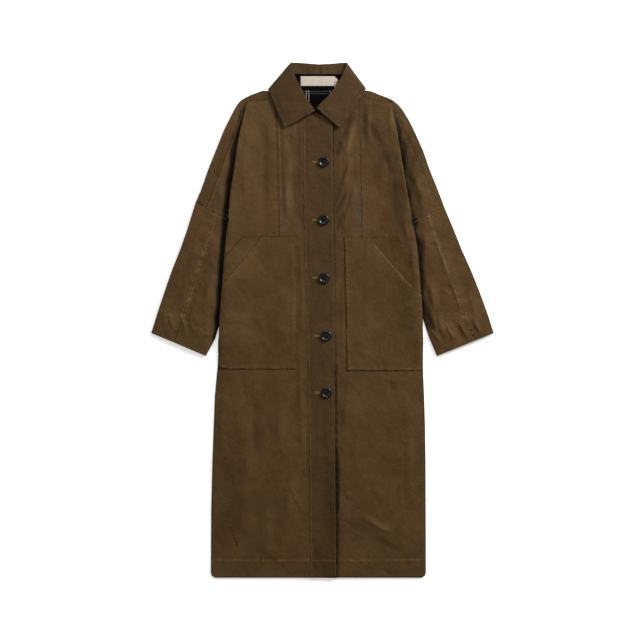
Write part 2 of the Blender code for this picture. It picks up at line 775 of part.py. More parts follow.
def make_sleeve(side):
    table = SLEEVE_LEFT if side == "left" else SLEEVE_RIGHT
    outer_rows, inner_rows = [], []
    for number, row in enumerate(table):
        outer, seam = Vector((row.outer_x, row.outer_y)), Vector((row.seam_x, row.seam_y))
        inner = Vector((row.inner_x, row.inner_y))
        if number == 0:
            down = (Vector((table[1].seam_x, table[1].seam_y)) - seam).normalized() * 2 * SEAM_GAP
            outer, seam, inner = outer + down, seam + down, inner + down
        outward = (outer - inner).normalized()
        edge = outer - outward * (TURN_RADIUS + CLOTH / 2)
        centre_part = 0.45
        line = []
        for part in (1.0, 0.66, 0.33, 0.0):
            place = edge.lerp(seam - (seam - edge).normalized() * SEAM_GAP / 2, part)
            rise = sleeve_crown(part * centre_part, number)
            line.append((place.x, place.y, TOP_LAYER + rise))
        line += turned(edge, outward, TOP_LAYER - TURN_RADIUS, TURN_RADIUS, TURN_STEPS)
        for part in (0.33, 0.66, 1.0):
            place = edge.lerp(inner, part)
            line.append((place.x, place.y, FLOOR_LAYER))
        outer_rows.append(line)
        line = []
        for part in (0.0, 0.25, 0.5, 0.75, 0.95):
            place = (seam + (inner - seam).normalized() * SEAM_GAP / 2).lerp(inner, part)
            rise = sleeve_crown(centre_part + (1 - centre_part) * part, number)
            line.append((place.x, place.y, TOP_LAYER + rise))
        line.append((inner.x, inner.y, FLOOR_LAYER + STEP_UP))
        inner_rows.append(line)
    cloth_piece(f"sleeve_{side}_outer", lofted(outer_rows, side == "left"))
    cloth_piece(f"sleeve_{side}_inner", lofted(inner_rows, side == "right"))


def collar_rows(left, back, right, columns, parts, ends):
    """Rows of points across a collar piece, from its left front end round the back to its right front end."""
    rows = []
    for row in [*left, back, *right[::-1]]:
        ax, ay, az, bx, by, bz = (getattr(row, column) for column in columns)
        line = []
        for part, drop in zip(parts, ends):
            rise = drop if az > 6 else 0
            line.append((ax + (bx - ax) * part, ay + (by - ay) * part, az + (bz - az) * part - rise))
        rows.append(line)
    return rows


def make_collar():
    leaf = ("fold_x", "fold_y", "fold_z", "edge_x", "edge_y", "edge_z")
    rows = collar_rows(LEAF_LEFT, LEAF_BACK, LEAF_RIGHT, leaf, (0, 0.05, 0.35, 0.7, 1), (0.6, 0, 0, 0, 0))
    cloth_piece("collar_leaf", lofted(rows))
    stand = ("top_x", "top_y", "top_z", "seam_x", "seam_y", "seam_z")
    rows = collar_rows(STAND_LEFT, STAND_BACK, STAND_RIGHT, stand, (0, 0.5, 1), (0, 0, 0))
    cloth_piece("collar_stand", lofted(rows))


def make_neck():
    lining_z = FLOOR_LAYER + STEP_UP
    lines = [spaced([(-80, y), (60, y)], 24) for y in FALL_LINES]
    lining = filled(spaced(NECK_LINING, 25), lambda x, y: lining_z + neck_lift(x, y), lines, 24, 24)
    cloth_piece("neck_lining", lining, LINING)
    label_rise = lining_z + (CLOTH + LABEL_CLOTH) / 2 + GAP + NECK_RISE
    cloth_piece("neck_label", filled(spaced(LABEL, 28), lambda x, y: label_rise), LABEL_FABRIC, LABEL_CLOTH)
    tail = filled([Vector(p) for p in LABEL_TAIL], lambda x, y: label_rise)
    cloth_piece("label_tail", tail, LABEL_FABRIC, LABEL_CLOTH)


def button_mesh():
    """A turned button with a rim and a dished face, pierced by four holes."""
    profile = [
        (0, BUTTON_DISH),
        (BUTTON_RADIUS * 0.62, BUTTON_DISH),
        (BUTTON_RADIUS * 0.76, BUTTON_HEIGHT),
        (BUTTON_RADIUS * 0.92, BUTTON_HEIGHT),
        (BUTTON_RADIUS, BUTTON_HEIGHT * 0.6),
        (BUTTON_RADIUS * 0.9, 0),
        (0, 0),
    ]
    turned_body = bmesh.new()
    ring = [turned_body.verts.new((x * MM, 0, z * MM)) for x, z in profile]
    edges = [turned_body.edges.new(pair) for pair in zip(ring, ring[1:])]
    bmesh.ops.spin(
        turned_body, geom=ring + edges, cent=(0, 0, 0), axis=(0, 0, 1), angle=math.tau, steps=BUTTON_SIDES,
        use_merge=True,
    )
    bmesh.ops.remove_doubles(turned_body, verts=turned_body.verts, dist=1e-6)
    bmesh.ops.recalc_face_normals(turned_body, faces=turned_body.faces)
    mesh = bpy.data.meshes.new("button_turned")
    turned_body.to_mesh(mesh)
    turned_body.free()
    blank = bpy.data.objects.new("button_blank", mesh)
    bpy.context.scene.collection.objects.link(blank)
    drills = bmesh.new()
    for sx in (-1, 1):
        for sy in (-1, 1):
            made = bmesh.ops.create_cone(
                drills, cap_ends=True, segments=6,
                radius1=BUTTON_HOLE_RADIUS * MM, radius2=BUTTON_HOLE_RADIUS * MM,
                depth=3 * BUTTON_HEIGHT * MM,
            )
            shift = (sx * BUTTON_HOLE_SPACING * MM, sy * BUTTON_HOLE_SPACING * MM, 0)
            bmesh.ops.translate(drills, vec=shift, verts=made["verts"])
    drill_mesh = bpy.data.meshes.new("button_drills")
    drills.to_mesh(drill_mesh)
    drills.free()
    cutter = bpy.data.objects.new("button_drills", drill_mesh)
    bpy.context.scene.collection.objects.link(cutter)
    cut = blank.modifiers.new("holes", "BOOLEAN")
    cut.object = cutter
    cut.operation = "DIFFERENCE"
    bpy.context.view_layer.update()
    pierced = bpy.data.meshes.new_from_object(blank.evaluated_get(bpy.context.evaluated_depsgraph_get()))
    bpy.data.objects.remove(blank)
    bpy.data.objects.remove(cutter)
    pierced.materials.clear()
    pierced.materials.append(material(BUTTON_RESIN))
    pierced.shade_smooth()
    pierced.set_sharp_from_angle(angle=math.radians(35))
    return pierced


def highest_under(sheet, x, y, radius):
    """The highest place of a sheet under a disc."""
    tree = BVHTree.FromPolygons(sheet.points, sheet.faces)
    found = []
    for reach in (0, radius / 2, radius * 0.9):
        for k in range(BUTTON_SIDES):
            turn = math.tau * k / BUTTON_SIDES
            start = Vector((x + reach * math.cos(turn), y + reach * math.sin(turn), 10 * TOP_LAYER))
            found.append(tree.ray_cast(start, Vector((0, 0, -1)))[0].z)
    return max(found)


def make_buttons(placket):
    mesh = button_mesh()
    for number, row in enumerate(BUTTONS, 1):
        seat = highest_under(placket, row.x, row.y, BUTTON_RADIUS) + CLOTH / 2 + GAP
        button = bpy.data.objects.new(f"button_{number}", mesh)
        button.location = (row.x * MM, row.y * MM, seat * MM)
        bpy.context.scene.collection.objects.link(button)


def main():
    for old in list(bpy.data.objects):
        bpy.data.objects.remove(old)
    make_back()
    fronts = {side: make_front(side) for side in ("left", "right")}
    for side, front in fronts.items():
        make_pocket(side, front)
        make_sleeve(side)
    placket = make_placket(fronts["left"])
    make_collar()
    make_neck()
    make_buttons(placket)


main()
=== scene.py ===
# Looks of a long waxed cotton coat laid flat: folds, seams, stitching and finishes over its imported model.
import math

import bmesh
import bpy
import numpy as np
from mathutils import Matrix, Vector
from mathutils.bvhtree import BVHTree


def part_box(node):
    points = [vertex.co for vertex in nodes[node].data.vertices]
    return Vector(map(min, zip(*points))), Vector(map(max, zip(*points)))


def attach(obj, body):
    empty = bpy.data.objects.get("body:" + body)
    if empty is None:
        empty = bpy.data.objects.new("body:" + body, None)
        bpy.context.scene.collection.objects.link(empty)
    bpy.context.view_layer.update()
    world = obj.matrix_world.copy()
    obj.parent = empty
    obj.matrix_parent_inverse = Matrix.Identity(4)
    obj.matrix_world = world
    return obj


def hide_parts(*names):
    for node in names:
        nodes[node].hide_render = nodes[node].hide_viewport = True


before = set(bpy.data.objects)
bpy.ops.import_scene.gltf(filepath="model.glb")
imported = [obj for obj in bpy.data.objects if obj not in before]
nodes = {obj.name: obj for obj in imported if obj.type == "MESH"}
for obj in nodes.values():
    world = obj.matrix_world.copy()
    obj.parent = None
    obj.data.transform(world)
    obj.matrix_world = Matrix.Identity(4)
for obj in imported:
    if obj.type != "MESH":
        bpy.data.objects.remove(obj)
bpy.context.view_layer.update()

mm = 0.001
down = Vector((0, 0, -1))

# Camera straight above the coat
view = {"height": 4.005, "centre": (-0.0061, 0.0), "pixel": 0.00244, "pixels": 640, "sensor": 36.0}
camera = bpy.data.cameras.new("camera")
camera.sensor_width = view["sensor"]
camera.lens = view["sensor"] * (view["height"] - 0.005) / (view["pixels"] * view["pixel"])
camera.clip_end = 20
cameraObject = bpy.data.objects.new("camera", camera)
cameraObject.location = (*view["centre"], view["height"])
bpy.context.scene.collection.objects.link(cameraObject)
bpy.context.scene.camera = cameraObject

print("shading")


class Value:  # a socket of a shader, so that maths on it reads as plain arithmetic
    def __init__(self, shading, socket):
        self.shading = shading
        self.socket = socket

    def math(self, operation, *others, swap=False):
        terms = [self, *others]
        if swap:
            terms.reverse()
        return self.shading.node("ShaderNodeMath", {"operation": operation}, dict(enumerate(terms)))

    def __add__(self, other):
        return self.math("ADD", other)

    def __sub__(self, other):
        return self.math("SUBTRACT", other)

    def __rsub__(self, other):
        return self.math("SUBTRACT", other, swap=True)

    def __mul__(self, other):
        return self.math("MULTIPLY", other)

    def __truediv__(self, other):
        return self.math("DIVIDE", other)

    __radd__ = __add__
    __rmul__ = __mul__

    def least(self, other):
        return self.math("MINIMUM", other)

    def most(self, other):
        return self.math("MAXIMUM", other)

    def sine(self):
        return self.math("SINE")

    def size(self):
        return self.math("ABSOLUTE")

    def ramp(self, low, high, fromValue=0.0, toValue=1.0):  # runs smoothly from one value to another
        inputs = {"Value": self, "From Min": low, "From Max": high, "To Min": fromValue, "To Max": toValue}
        return self.shading.node("ShaderNodeMapRange", {"interpolation_type": "SMOOTHSTEP"}, inputs)


class Shading:  # one material, whose nodes come from one method
    def __init__(self, name):
        self.material = bpy.data.materials.new(name)
        self.material.use_nodes = True
        self.tree = self.material.node_tree
        self.surface = self.tree.nodes["Principled BSDF"]

    def feed(self, socket, value):
        if isinstance(value, Value):
            self.tree.links.new(value.socket, socket)
        else:
            socket.default_value = value

    def node(self, kind, settings, inputs, out=0):
        made = self.tree.nodes.new(kind)
        for name, value in settings.items():
            setattr(made, name, value)
        for key, value in inputs.items():
            self.feed(made.inputs[key], value)
        return Value(self, made.outputs[out])

    def place(self):
        return self.node("ShaderNodeTexCoord", {}, {}, "Object")

    def split(self, vector):
        parts = self.node("ShaderNodeSeparateXYZ", {}, {0: vector})
        return [Value(self, parts.socket.node.outputs[k]) for k in range(3)]

    def scaled(self, vector, factors):
        return self.node("ShaderNodeVectorMath", {"operation": "MULTIPLY"}, {0: vector, 1: factors})

    def noise(self, place, scale, detail=2.0, roughness=0.5, distortion=0.0):
        inputs = {"Vector": place, "Scale": scale, "Detail": detail, "Roughness": roughness}
        inputs["Distortion"] = distortion
        return self.node("ShaderNodeTexNoise", {}, inputs)

    def attribute(self, name):
        return self.node("ShaderNodeAttribute", {"attribute_name": name}, {}, "Fac")

    def mix(self, factor, first, second, blend="MIX"):
        settings = {"data_type": "RGBA", "blend_type": blend}
        return self.node("ShaderNodeMix", settings, {0: factor, 6: first, 7: second}, 2)

    def bump(self, height, distance, strength=1.0, normal=None):
        inputs = {"Height": height, "Distance": distance, "Strength": strength}
        if normal is not None:
            inputs["Normal"] = normal
        return self.node("ShaderNodeBump", {}, inputs)

    def finish(self, **inputs):
        for name, value in inputs.items():
            self.feed(self.surface.inputs[name.replace("_", " ")], value)
        return self.material


def tone(red, green, blue):
    return (red, green, blue, 1.0)


cotton = {
    "ground": tone(0.0735, 0.0384, 0.0098),
    "red": tone(0.0800, 0.0360, 0.0106),
    "green": tone(0.0660, 0.0410, 0.0104),
    "deep": tone(0.0400, 0.0210, 0.0052),
    "worn": tone(0.1350, 0.0830, 0.0320),
    # darker and paler tones: for random clouds and seam lines, and for painted shade and painted highlights
    # of the folds
    "darkToneAndShade": tone(0.0230, 0.0118, 0.0028),
    "ridge": tone(0.1180, 0.0700, 0.0240),
    "bloom": tone(0.0680, 0.0500, 0.0360),
    "shadow": tone(0.0016, 0.0011, 0.0007),
    "patch": 4.5,        # blotches a metre, and the finer marks in turn
    "cloud": 13.0,
    "crumple": 24.0,
    "mottle": 48.0,
    "rub": 95.0,
    "vein": 120.0,
    "break": 150.0,
    "speckle": 170.0,
    "grain": 520.0,
    "thread": 0.0008,    # spacing of the weave
    "roughness": 0.62,
    "specular": 0.10,
    "lineWidth": 1.5,    # half width of a rubbed line, in millimetres
    "stitchWidth": 1.3,
}


def waxedCotton(name, look, shade=1.0):
    s = Shading(name)
    place = s.place()
    x, y, z = s.split(place)
    patches = s.noise(place, look["patch"], 3.0, 0.55).ramp(0.40, 0.68)
    tint = s.noise(s.scaled(place, (1.0, 0.6, 1.0)), look["patch"] * 1.7, 2.0).ramp(0.42, 0.64)
    mottle = s.noise(place, look["mottle"], 5.0, 0.66).ramp(0.30, 0.72)
    speckle = s.noise(place, look["speckle"], 3.0, 0.6).ramp(0.32, 0.70)
    grain = s.noise(place, look["grain"], 2.0, 0.6)
    wear = s.attribute("wear")
    rubbed = s.noise(place, look["rub"], 4.0, 0.7)
    side = s.attribute("wornSide").size().ramp(look["lineWidth"], look["lineWidth"] * 0.25)
    broken = s.noise(place, look["break"], 2.0, 0.6).ramp(0.40, 0.60)
    line = side * s.attribute("worn").ramp(3.6, 2.6) * (rubbed.ramp(0.36, 0.58) * 0.5 + broken * 0.5)
    scuff = (wear * rubbed.ramp(0.42, 0.70) * 0.5 + line * (0.1 + wear * 0.7)).least(1.0)
    warm = (y.ramp(0.14, 0.26) * 0.35 + patches * 0.75).least(1.0)
    color = s.mix(warm, look["ground"], look["red"])
    color = s.mix(tint * 0.5, color, look["green"])
    color = s.mix((1 - mottle) * 0.38 + (1 - speckle) * 0.26, color, look["deep"])
    color = s.mix(scuff, color, look["worn"])
    color = s.mix(0.5, color, s.mix(grain, tone(0.32, 0.32, 0.32), tone(0.68, 0.68, 0.68)), "OVERLAY")
    color = s.mix(s.attribute("bloom"), color, look["bloom"])
    cloud = s.noise(place, look["cloud"], 3.0, 0.6).ramp(0.30, 0.70)
    color = s.mix(0.16 * cloud, color, look["ridge"])
    color = s.mix(0.16 * (1 - cloud), color, look["darkToneAndShade"])
    # the "tone" attribute is painted light and shade: paler on ridges and painted highlights, darker in
    # troughs and painted shadows
    foldLightAndShade = s.attribute("tone")
    uneven = 0.75 + mottle * 0.5
    color = s.mix((foldLightAndShade * uneven).most(0.0).least(1.0), color, look["ridge"])
    color = s.mix((foldLightAndShade * -1.0 * uneven).most(0.0).least(1.0), color, look["darkToneAndShade"])
    drawn = s.attribute("darkSide").size().ramp(2.0, 0.6) * s.attribute("dark").ramp(3.6, 2.6)
    color = s.mix(drawn * (0.55 + broken * 0.4), color, look["darkToneAndShade"])
    veins = (s.noise(place, look["vein"], 3.0, 0.55, 1.6) - 0.5).size().ramp(0.030, 0.004)
    color = s.mix(veins * (0.07 + s.attribute("crinkle") * 0.55) * (0.3 + speckle * 0.7), color, look["worn"])
    sewn = s.attribute("rowSide").size().ramp(1.4, 0.2) * s.attribute("row").ramp(2.6, 1.8) * broken
    color = s.mix(sewn * 0.3, color, look["darkToneAndShade"])
    # painted shadow in the pleat beside the body and under the placket's free edge
    color = s.mix(s.attribute("shade"), color, look["shadow"])
    if shade != 1.0:
        color = s.mix(1.0, color, tone(shade, shade, shade), "MULTIPLY")
    turn = math.tau / look["thread"]
    weave = ((x + y) * turn).sine() * ((x - y) * turn).sine()
    crumple = s.noise(s.scaled(place, (1.0, 0.7, 1.0)), look["crumple"], 5.0, 0.6, 0.5)
    rough = look["roughness"] + (mottle - 0.5) * 0.1 + (grain - 0.5) * 0.1
    row = s.attribute("rowSide").size().ramp(0.2, look["stitchWidth"]).most(s.attribute("row").ramp(2.2, 3.0))
    normal = s.bump(crumple, 0.007, 0.6)
    normal = s.bump(row, 0.0005, 1.0, normal)
    normal = s.bump(speckle * 0.5 + grain * 0.35 + weave * 0.15, 0.0005, 0.6, normal)
    s.surface.inputs["Specular IOR Level"].default_value = look["specular"]
    return s.finish(Base_Color=color, Roughness=rough, Normal=normal)


coatCloth = waxedCotton("waxed_cotton", cotton)
placketCloth = waxedCotton("waxed_cotton_placket", cotton, 0.77)
collarCloth = waxedCotton("waxed_cotton_collar", cotton, 0.75)

liningLook = {
    "ground": tone(0.0014, 0.0014, 0.0016),
    "line": tone(0.30, 0.30, 0.29),
    "faint": tone(0.055, 0.055, 0.056),
    "check": 58.0 * mm,      # repeat of the check
    "pair": (6.1 * mm, 5.4 * mm),        # spacing of a pair of lines
    "first": (-39.5 * mm, 552.4 * mm),
    "width": 0.85 * mm,
    "top": 561 * mm,         # plain above this
}


def checkedLining(look):
    s = Shading("check_lining")
    place = s.place()
    x, y, z = s.split(place)

    def lines(along, start, pair):
        nearest = None
        for shift in (0.0, pair):
            offset = (along - (start + shift - 40 * look["check"])) / look["check"]
            apart = ((offset.math("FRACT") - 0.5).size() - 0.5).size() * look["check"]
            line = apart.ramp(look["width"], look["width"] * 0.5)
            nearest = line if nearest is None else nearest.most(line)
        return nearest

    weave = s.noise(place, 2400.0, 2.0).ramp(0.35, 0.65)
    upright = lines(x, look["first"][0], look["pair"][0])
    level = lines(y, look["first"][1], look["pair"][1])
    below = (look["top"] - y).ramp(0.0, 1 * mm)
    color = s.mix(level * below * 0.8, look["ground"], look["faint"])
    color = s.mix(upright * below * (0.6 + weave * 0.4), color, look["line"])
    normal = s.bump(weave, 0.0002, 0.6)
    s.surface.inputs["Specular IOR Level"].default_value = 0.02
    return s.finish(Base_Color=color, Roughness=0.62 + weave * 0.1, Normal=normal)


labelLook = {"ground": tone(0.44, 0.38, 0.305), "shade": tone(0.35, 0.295, 0.225), "thread": 0.0005}


def wovenLabel(look):
    s = Shading("label_cream")
    place = s.place()
    x, y, z = s.split(place)
    turn = math.tau / look["thread"]
    ribs = ((y * turn).sine() * 0.5 + 0.5) * 0.6 + ((x * turn * 0.5).sine() * 0.5 + 0.5) * 0.4
    soft = s.noise(place, 45.0, 3.0).ramp(0.35, 0.7)
    # soft random tone, and painted shade in the grooves between the ribs
    color = s.mix(soft * 0.35 + (1 - ribs) * 0.12, look["ground"], look["shade"])
    return s.finish(Base_Color=color, Roughness=0.66 + ribs * 0.1, Normal=s.bump(ribs, 0.00012, 0.8))


resinLook = {"ground": tone(0.0016, 0.0016, 0.0016), "vein": tone(0.004, 0.004, 0.004)}


def buttonResin(look):
    s = Shading("button_resin")
    place = s.place()
    vein = s.noise(place, 160.0, 4.0, 0.6, 1.2).ramp(0.45, 0.75)
    color = s.mix(vein * 0.8, look["ground"], look["vein"])
    s.surface.inputs["Specular IOR Level"].default_value = 0.28
    rough = 0.25 + s.noise(place, 900.0, 2.0) * 0.08
    return s.finish(Base_Color=color, Roughness=rough)


def sewingThread(name, color, dark):
    s = Shading(name)
    s.surface.inputs["Specular IOR Level"].default_value = 0.08
    place = s.place()
    twist = s.noise(place, 1500.0, 2.0).ramp(0.3, 0.7)
    return s.finish(Base_Color=s.mix(twist, color, dark), Roughness=0.55 + twist * 0.2)


lining = checkedLining(liningLook)
label = wovenLabel(labelLook)
resin = buttonResin(resinLook)
seamThread = sewingThread("seam_thread", tone(0.210, 0.130, 0.052), tone(0.120, 0.073, 0.028))
holeThread = sewingThread("buttonhole_thread", tone(0.30, 0.170, 0.045), tone(0.15, 0.085, 0.024))
# black thread for the buttons, also used for the painted shadow bars in the buttonhole slits
blackThreadAndSlitShadow = sewingThread("button_thread_and_slit_shadow", tone(0.02, 0.017, 0.013), tone(0.01, 0.009, 0.008))

print("fields")


def runs(line):  # ends and lengths of the straight parts of a line, in millimetres
    points = np.array(line, float)
    starts, ends = points[:-1], points[1:]
    lengths = np.linalg.norm(ends - starts, axis=1)
    before = np.concatenate([[0], np.cumsum(lengths)[:-1]])
    return list(zip(starts, ends, lengths, before))


def nearLine(x, y, line):  # signed distance to a line, and the place along it
    best = np.full(x.shape, 1e6)
    signed = np.full(x.shape, 1e6)
    along = np.zeros(x.shape)
    for start, end, length, before in runs(line):
        way = (end - start) / length
        dx, dy = x - start[0], y - start[1]
        t = dx * way[0] + dy * way[1]
        held = np.clip(t, 0, length)
        away = np.hypot(dx - way[0] * held, dy - way[1] * held)
        side = np.sign(dx * way[1] - dy * way[0])
        closer = away < best
        best = np.where(closer, away, best)
        signed = np.where(closer, away * side, signed)
        along = np.where(closer, before + held, along)
    return signed, along


def softNoise(x, y, cell, seed):  # smooth random field from -1 to 1, the same in each run
    table = np.random.default_rng(seed).uniform(-1, 1, (257, 257))
    u, v = x / cell + 97.3, y / cell + 121.7
    i, j = np.floor(u).astype(int), np.floor(v).astype(int)
    fu, fv = u - i, v - j
    fu, fv = fu * fu * (3 - 2 * fu), fv * fv * (3 - 2 * fv)
    i, j = i % 256, j % 256
    low = table[i, j] * (1 - fu) + table[i + 1, j] * fu
    high = table[i, j + 1] * (1 - fu) + table[i + 1, j + 1] * fu
    return low * (1 - fv) + high * fv


def smoothStep(t):
    t = np.clip(t, 0, 1)
    return t * t * (3 - 2 * t)


def creaseLift(x, y, creases):  # soft curved ridges and troughs: x0, y0, x1, y1, bow, half width, height
    lift = np.zeros(x.shape)
    for x0, y0, x1, y1, bow, width, height in creases:
        reach = 3 * width + abs(bow)
        near = (x > min(x0, x1) - reach) & (x < max(x0, x1) + reach)
        near &= (y > min(y0, y1) - reach) & (y < max(y0, y1) + reach)
        if not near.any():
            continue
        length = math.hypot(x1 - x0, y1 - y0)
        sideways = np.array((y1 - y0, x0 - x1)) / length
        line = []
        for k in range(9):
            t = k / 8
            straight = np.array((x0, y0)) * (1 - t) + np.array((x1, y1)) * t
            line.append(straight + sideways * bow * 4 * t * (1 - t))
        away, along = nearLine(x[near], y[near], line)
        total = sum(run[2] for run in runs(line))
        t = along / total
        taper = np.sin(np.pi * np.clip(t, 0.0, 1.0)) ** 0.7
        uneven = 0.8 + 0.3 * softNoise(along, along * 0 + x0, 28.0, int(abs(x0) + abs(y1)) % 97)
        scaled = np.where(away > 0, away / (0.75 * width), away / (1.3 * width))
        past = np.minimum(along, total - along)
        fade = np.where(past <= 0, 0.0, 1.0)
        lift[near] += height * np.exp(-scaled * scaled) * taper * uneven * fade
    return lift


def seamLift(x, y, seams):  # the raised band of a seam and the puckers that its thread draws
    lift = np.zeros(x.shape)
    for number, seam in enumerate(seams):
        away, along = nearLine(x, y, seam["line"])
        band = np.exp(-(((away - seam.get("middle", 0)) / seam.get("half", 4.0)) ** 2))
        uneven = softNoise(along, away * 0.25, 5.5, 11 + number)
        uneven += 0.7 * softNoise(along, away * 0.2, 12.0, 31 + number)
        lift += seam.get("band", 0.6) * band + seam.get("pucker", 0.6) * np.exp(-((away / 8.0) ** 2)) * uneven
    return lift


def nearestOf(x, y, seams, key, default=()):  # unsigned and signed distance to the nearest line of a kind
    nearest, signed = np.full(x.shape, 30.0), np.full(x.shape, 30.0)
    for seam in seams:
        away, _ = nearLine(x, y, seam["line"])
        for place in seam.get(key, default):
            closer = np.abs(away - place) < nearest
            nearest = np.where(closer, np.abs(away - place), nearest)
            signed = np.where(closer, away - place, signed)
    return nearest, signed


def wearAmount(x, y, seams):  # how far the wax is rubbed off beside seams and edges
    wear = np.zeros(x.shape)
    for number, seam in enumerate(seams):
        away, along = nearLine(x, y, seam["line"])
        uneven = 0.7 + 0.6 * softNoise(along, along * 0, 14.0, 51 + number)
        for place in seam.get("worn", (0.0,)):
            band = np.exp(-(((away - place) / seam.get("wornWidth", 4.0)) ** 2))
            wear = np.maximum(wear, seam.get("wear", 0.5) * band * uneven)
    return wear


def crinkleAmount(x, y, seams):  # fine pale creases beside some seams
    amount = np.zeros(x.shape)
    for seam in seams:
        if "crinkle" in seam:
            away, _ = nearLine(x, y, seam["line"])
            amount = np.maximum(amount, seam["crinkle"] * np.exp(-((away / 26.0) ** 2)))
    return amount


sideLines = {
    "left": [(-187.5, 527.5), (-195, 490), (-206, 437), (-212, 390), (-224, 315), (-230.5, 246), (-237, 176),
             (-245, 71), (-251.5, -12), (-256, -120), (-262, -171), (-268.5, -342), (-272.5, -629)],
    "right": [(169.5, 527.5), (177, 490), (185, 437), (193, 390), (206, 315), (218, 246), (230.5, 176),
              (239.5, 71), (244.5, -12), (245, -120), (247.5, -171), (251.5, -342), (252.5, -629)],
}
outerLines = {
    "left": [(-188, 543.5), (-216, 512.4), (-240.3, 463.6), (-279.4, 366), (-310.5, 284.6), (-347.7, 170.8),
             (-384.3, 73.2), (-417.9, -31.7)],
    "right": [(172, 536.8), (196.4, 512.4), (223.3, 463.6), (262.3, 366), (297, 277), (340.4, 170.8),
              (381.9, 73.2), (417.9, -31.7)],
}
freeLine = [(24.5, 508), (27.5, 205), (30, 49), (31, -127), (32.2, -390), (34.2, -629)]
innerLines = {
    "left": [(-251.5, -20), (-262, -45), (-284.3, -87.8)],
    "right": [(244.5, -20), (260, -42), (279.4, -87.8)],
}

# Creases: x0, y0, x1, y1, bow, half width, height
creases = [
    # left chest
    (-62, 500, -57, 310, 3, 6, -2.6), (-60, 330, -54, 212, -3, 6, -2.4), (-80, 400, -84, 226, 5, 9, 3.4),
    (-98, 505, -92, 215, -4, 7, 2.2), (-128, 500, -124, 250, 6, 11, 2.6),
    (-150, 480, -148, 260, -8, 10, -2.0), (-178, 470, -190, 300, 6, 11, 2.8),
    (-206, 360, -216, 215, -5, 10, -2.0), (-70, 478, -66, 420, 3, 5, 2.2),
    # left skirt
    (-58, 190, -52, -40, -4, 6, 2.6), (-52, -60, -48, -330, 5, 7, 3.2), (-100, -200, -96, -340, 6, 14, 2.4),
    (-166, -170, -160, -345, 6, 12, -3.0), (-150, -120, -176, -420, 16, 13, 3.0),
    (-210, -190, -196, -520, -12, 15, 3.2), (-232, -240, -224, -550, 8, 12, -1.2),
    (-112, -380, -118, -570, 8, 14, -2.2), (-70, -370, -84, -500, 6, 9, 2.6),
    (-80, -392, -40, -476, 6, 5, 1.6), (-236, -150, -246, -360, 4, 9, 2.2),
    (-140, -440, -132, -590, -5, 10, 2.4),
    # beside the placket
    (67, 490, 49, 433, 3, 4, -3.4), (49, 433, 31, 396, 2, 4, -3.0), (61, 378, 49, 336, 3, 4, -3.4),
    (49, 336, 31, 281, 2, 4, -3.0), (56, 305, 33, 256, 3, 4, -2.8), (50, 262, 31, 206, 2, 4, -2.6),
    (78, 480, 58, 400, 4, 6, 3.4), (74, 400, 52, 330, 4, 6, 3.0), (76, 330, 58, 262, -4, 6, 3.0),
    (66, 270, 50, 212, 3, 5, 2.4),
    # right chest
    (102, 535, 100, 440, 2, 5, -3.6), (112, 520, 116, 420, 3, 6, 3.0), (108, 474, 144, 417, -5, 8, -3.4),
    (144, 417, 172, 352, -5, 9, -3.8), (172, 360, 182, 286, -4, 9, -4.0), (128, 478, 158, 420, 5, 7, 3.0),
    (150, 400, 148, 250, 5, 11, 2.6), (178, 300, 186, 225, 3, 8, -2.6), (168, 525, 168, 455, 2, 6, 3.4),
    (126, 330, 122, 215, -4, 10, 2.4), (200, 260, 212, 190, 3, 8, 2.8),
    # right skirt
    (56, -488, 110, -520, 4, 5, -3.2), (110, -520, 190, -566, 4, 6, -3.0), (94, -474, 170, -518, 5, 7, 3.0),
    (52, -433, 74, -440, 2, 3, -2.4), (66, -150, 110, -420, 16, 18, 2.6),
    (170, -170, 150, -430, -10, 16, -1.9), (214, -180, 226, -480, 8, 13, 3.0),
    (226, -250, 214, -400, -4, 8, -1.8), (168, -150, 172, -176, 2, 7, -2.2),
    (160, -262, 168, -284, 2, 8, -2.0), (150, -316, 146, -350, 2, 7, -1.8), (60, -180, 54, -330, 4, 8, 2.2),
    (150, -598, 182, -622, 3, 3.5, 2.6), (164, -594, 194, -622, 3, 3.5, 2.4),
    (56, 120, 52, -120, 3, 7, 2.2),
    # left lower sleeve
    (-268, 226, -262, 120, 8, 9, 3.4), (-240, 205, -246, 120, -6, 8, 3.0),
    (-300, 190, -322, 110, 5, 9, 2.8), (-262, 110, -290, 10, 6, 9, 3.6), (-330, 120, -352, 20, -6, 10, 2.8),
    (-300, 60, -322, -30, 6, 8, 2.8), (-372, 70, -386, -10, 4, 9, 2.2), (-262, 60, -276, -40, -6, 9, 3.4),
    # right lower sleeve
    (222, 318, 232, 262, -4, 6, -3.6), (238, 330, 226, 268, 4, 6, 3.6), (246, 214, 238, 120, -8, 8, 3.8),
    (220, 190, 232, 90, 6, 7, 3.4), (282, 190, 300, 110, -5, 9, 2.6), (248, 110, 272, 20, -6, 8, 4.0),
    (316, 130, 340, 30, 6, 10, 3.0), (252, 30, 268, -36, 4, 7, -4.2), (262, 36, 284, -30, 5, 7, 3.8),
    (352, 80, 372, 0, -4, 9, 2.2), (284, 20, 306, -50, 6, 7, 3.4), (256, -20, 290, -64, -4, 5, 3.4),
    # upper arms and cuffs
    (222, 440, 196, 380, 4, 6, 3.6), (236, 400, 206, 350, -4, 6, 3.8), (246, 352, 214, 300, 4, 6, 3.6),
    (252, 318, 224, 262, -3, 6, 3.4), (205, 480, 190, 430, 3, 6, 3.2), (-222, 470, -206, 400, -3, 6, 2.6),
    (-262, 350, -236, 270, 4, 8, 2.6), (300, -6, 322, -48, 3, 4, 3.0), (314, -2, 338, -46, -3, 4, -2.6),
    (332, 0, 356, -44, 3, 4, 3.0), (352, 0, 372, -40, -3, 4, -2.4), (368, 4, 388, -34, 3, 4, 2.8),
    (-320, 0, -306, -42, 3, 4, 2.6), (-346, 8, -336, -40, -3, 4, 2.4), (-372, 16, -362, -28, 3, 4, 2.4),
]
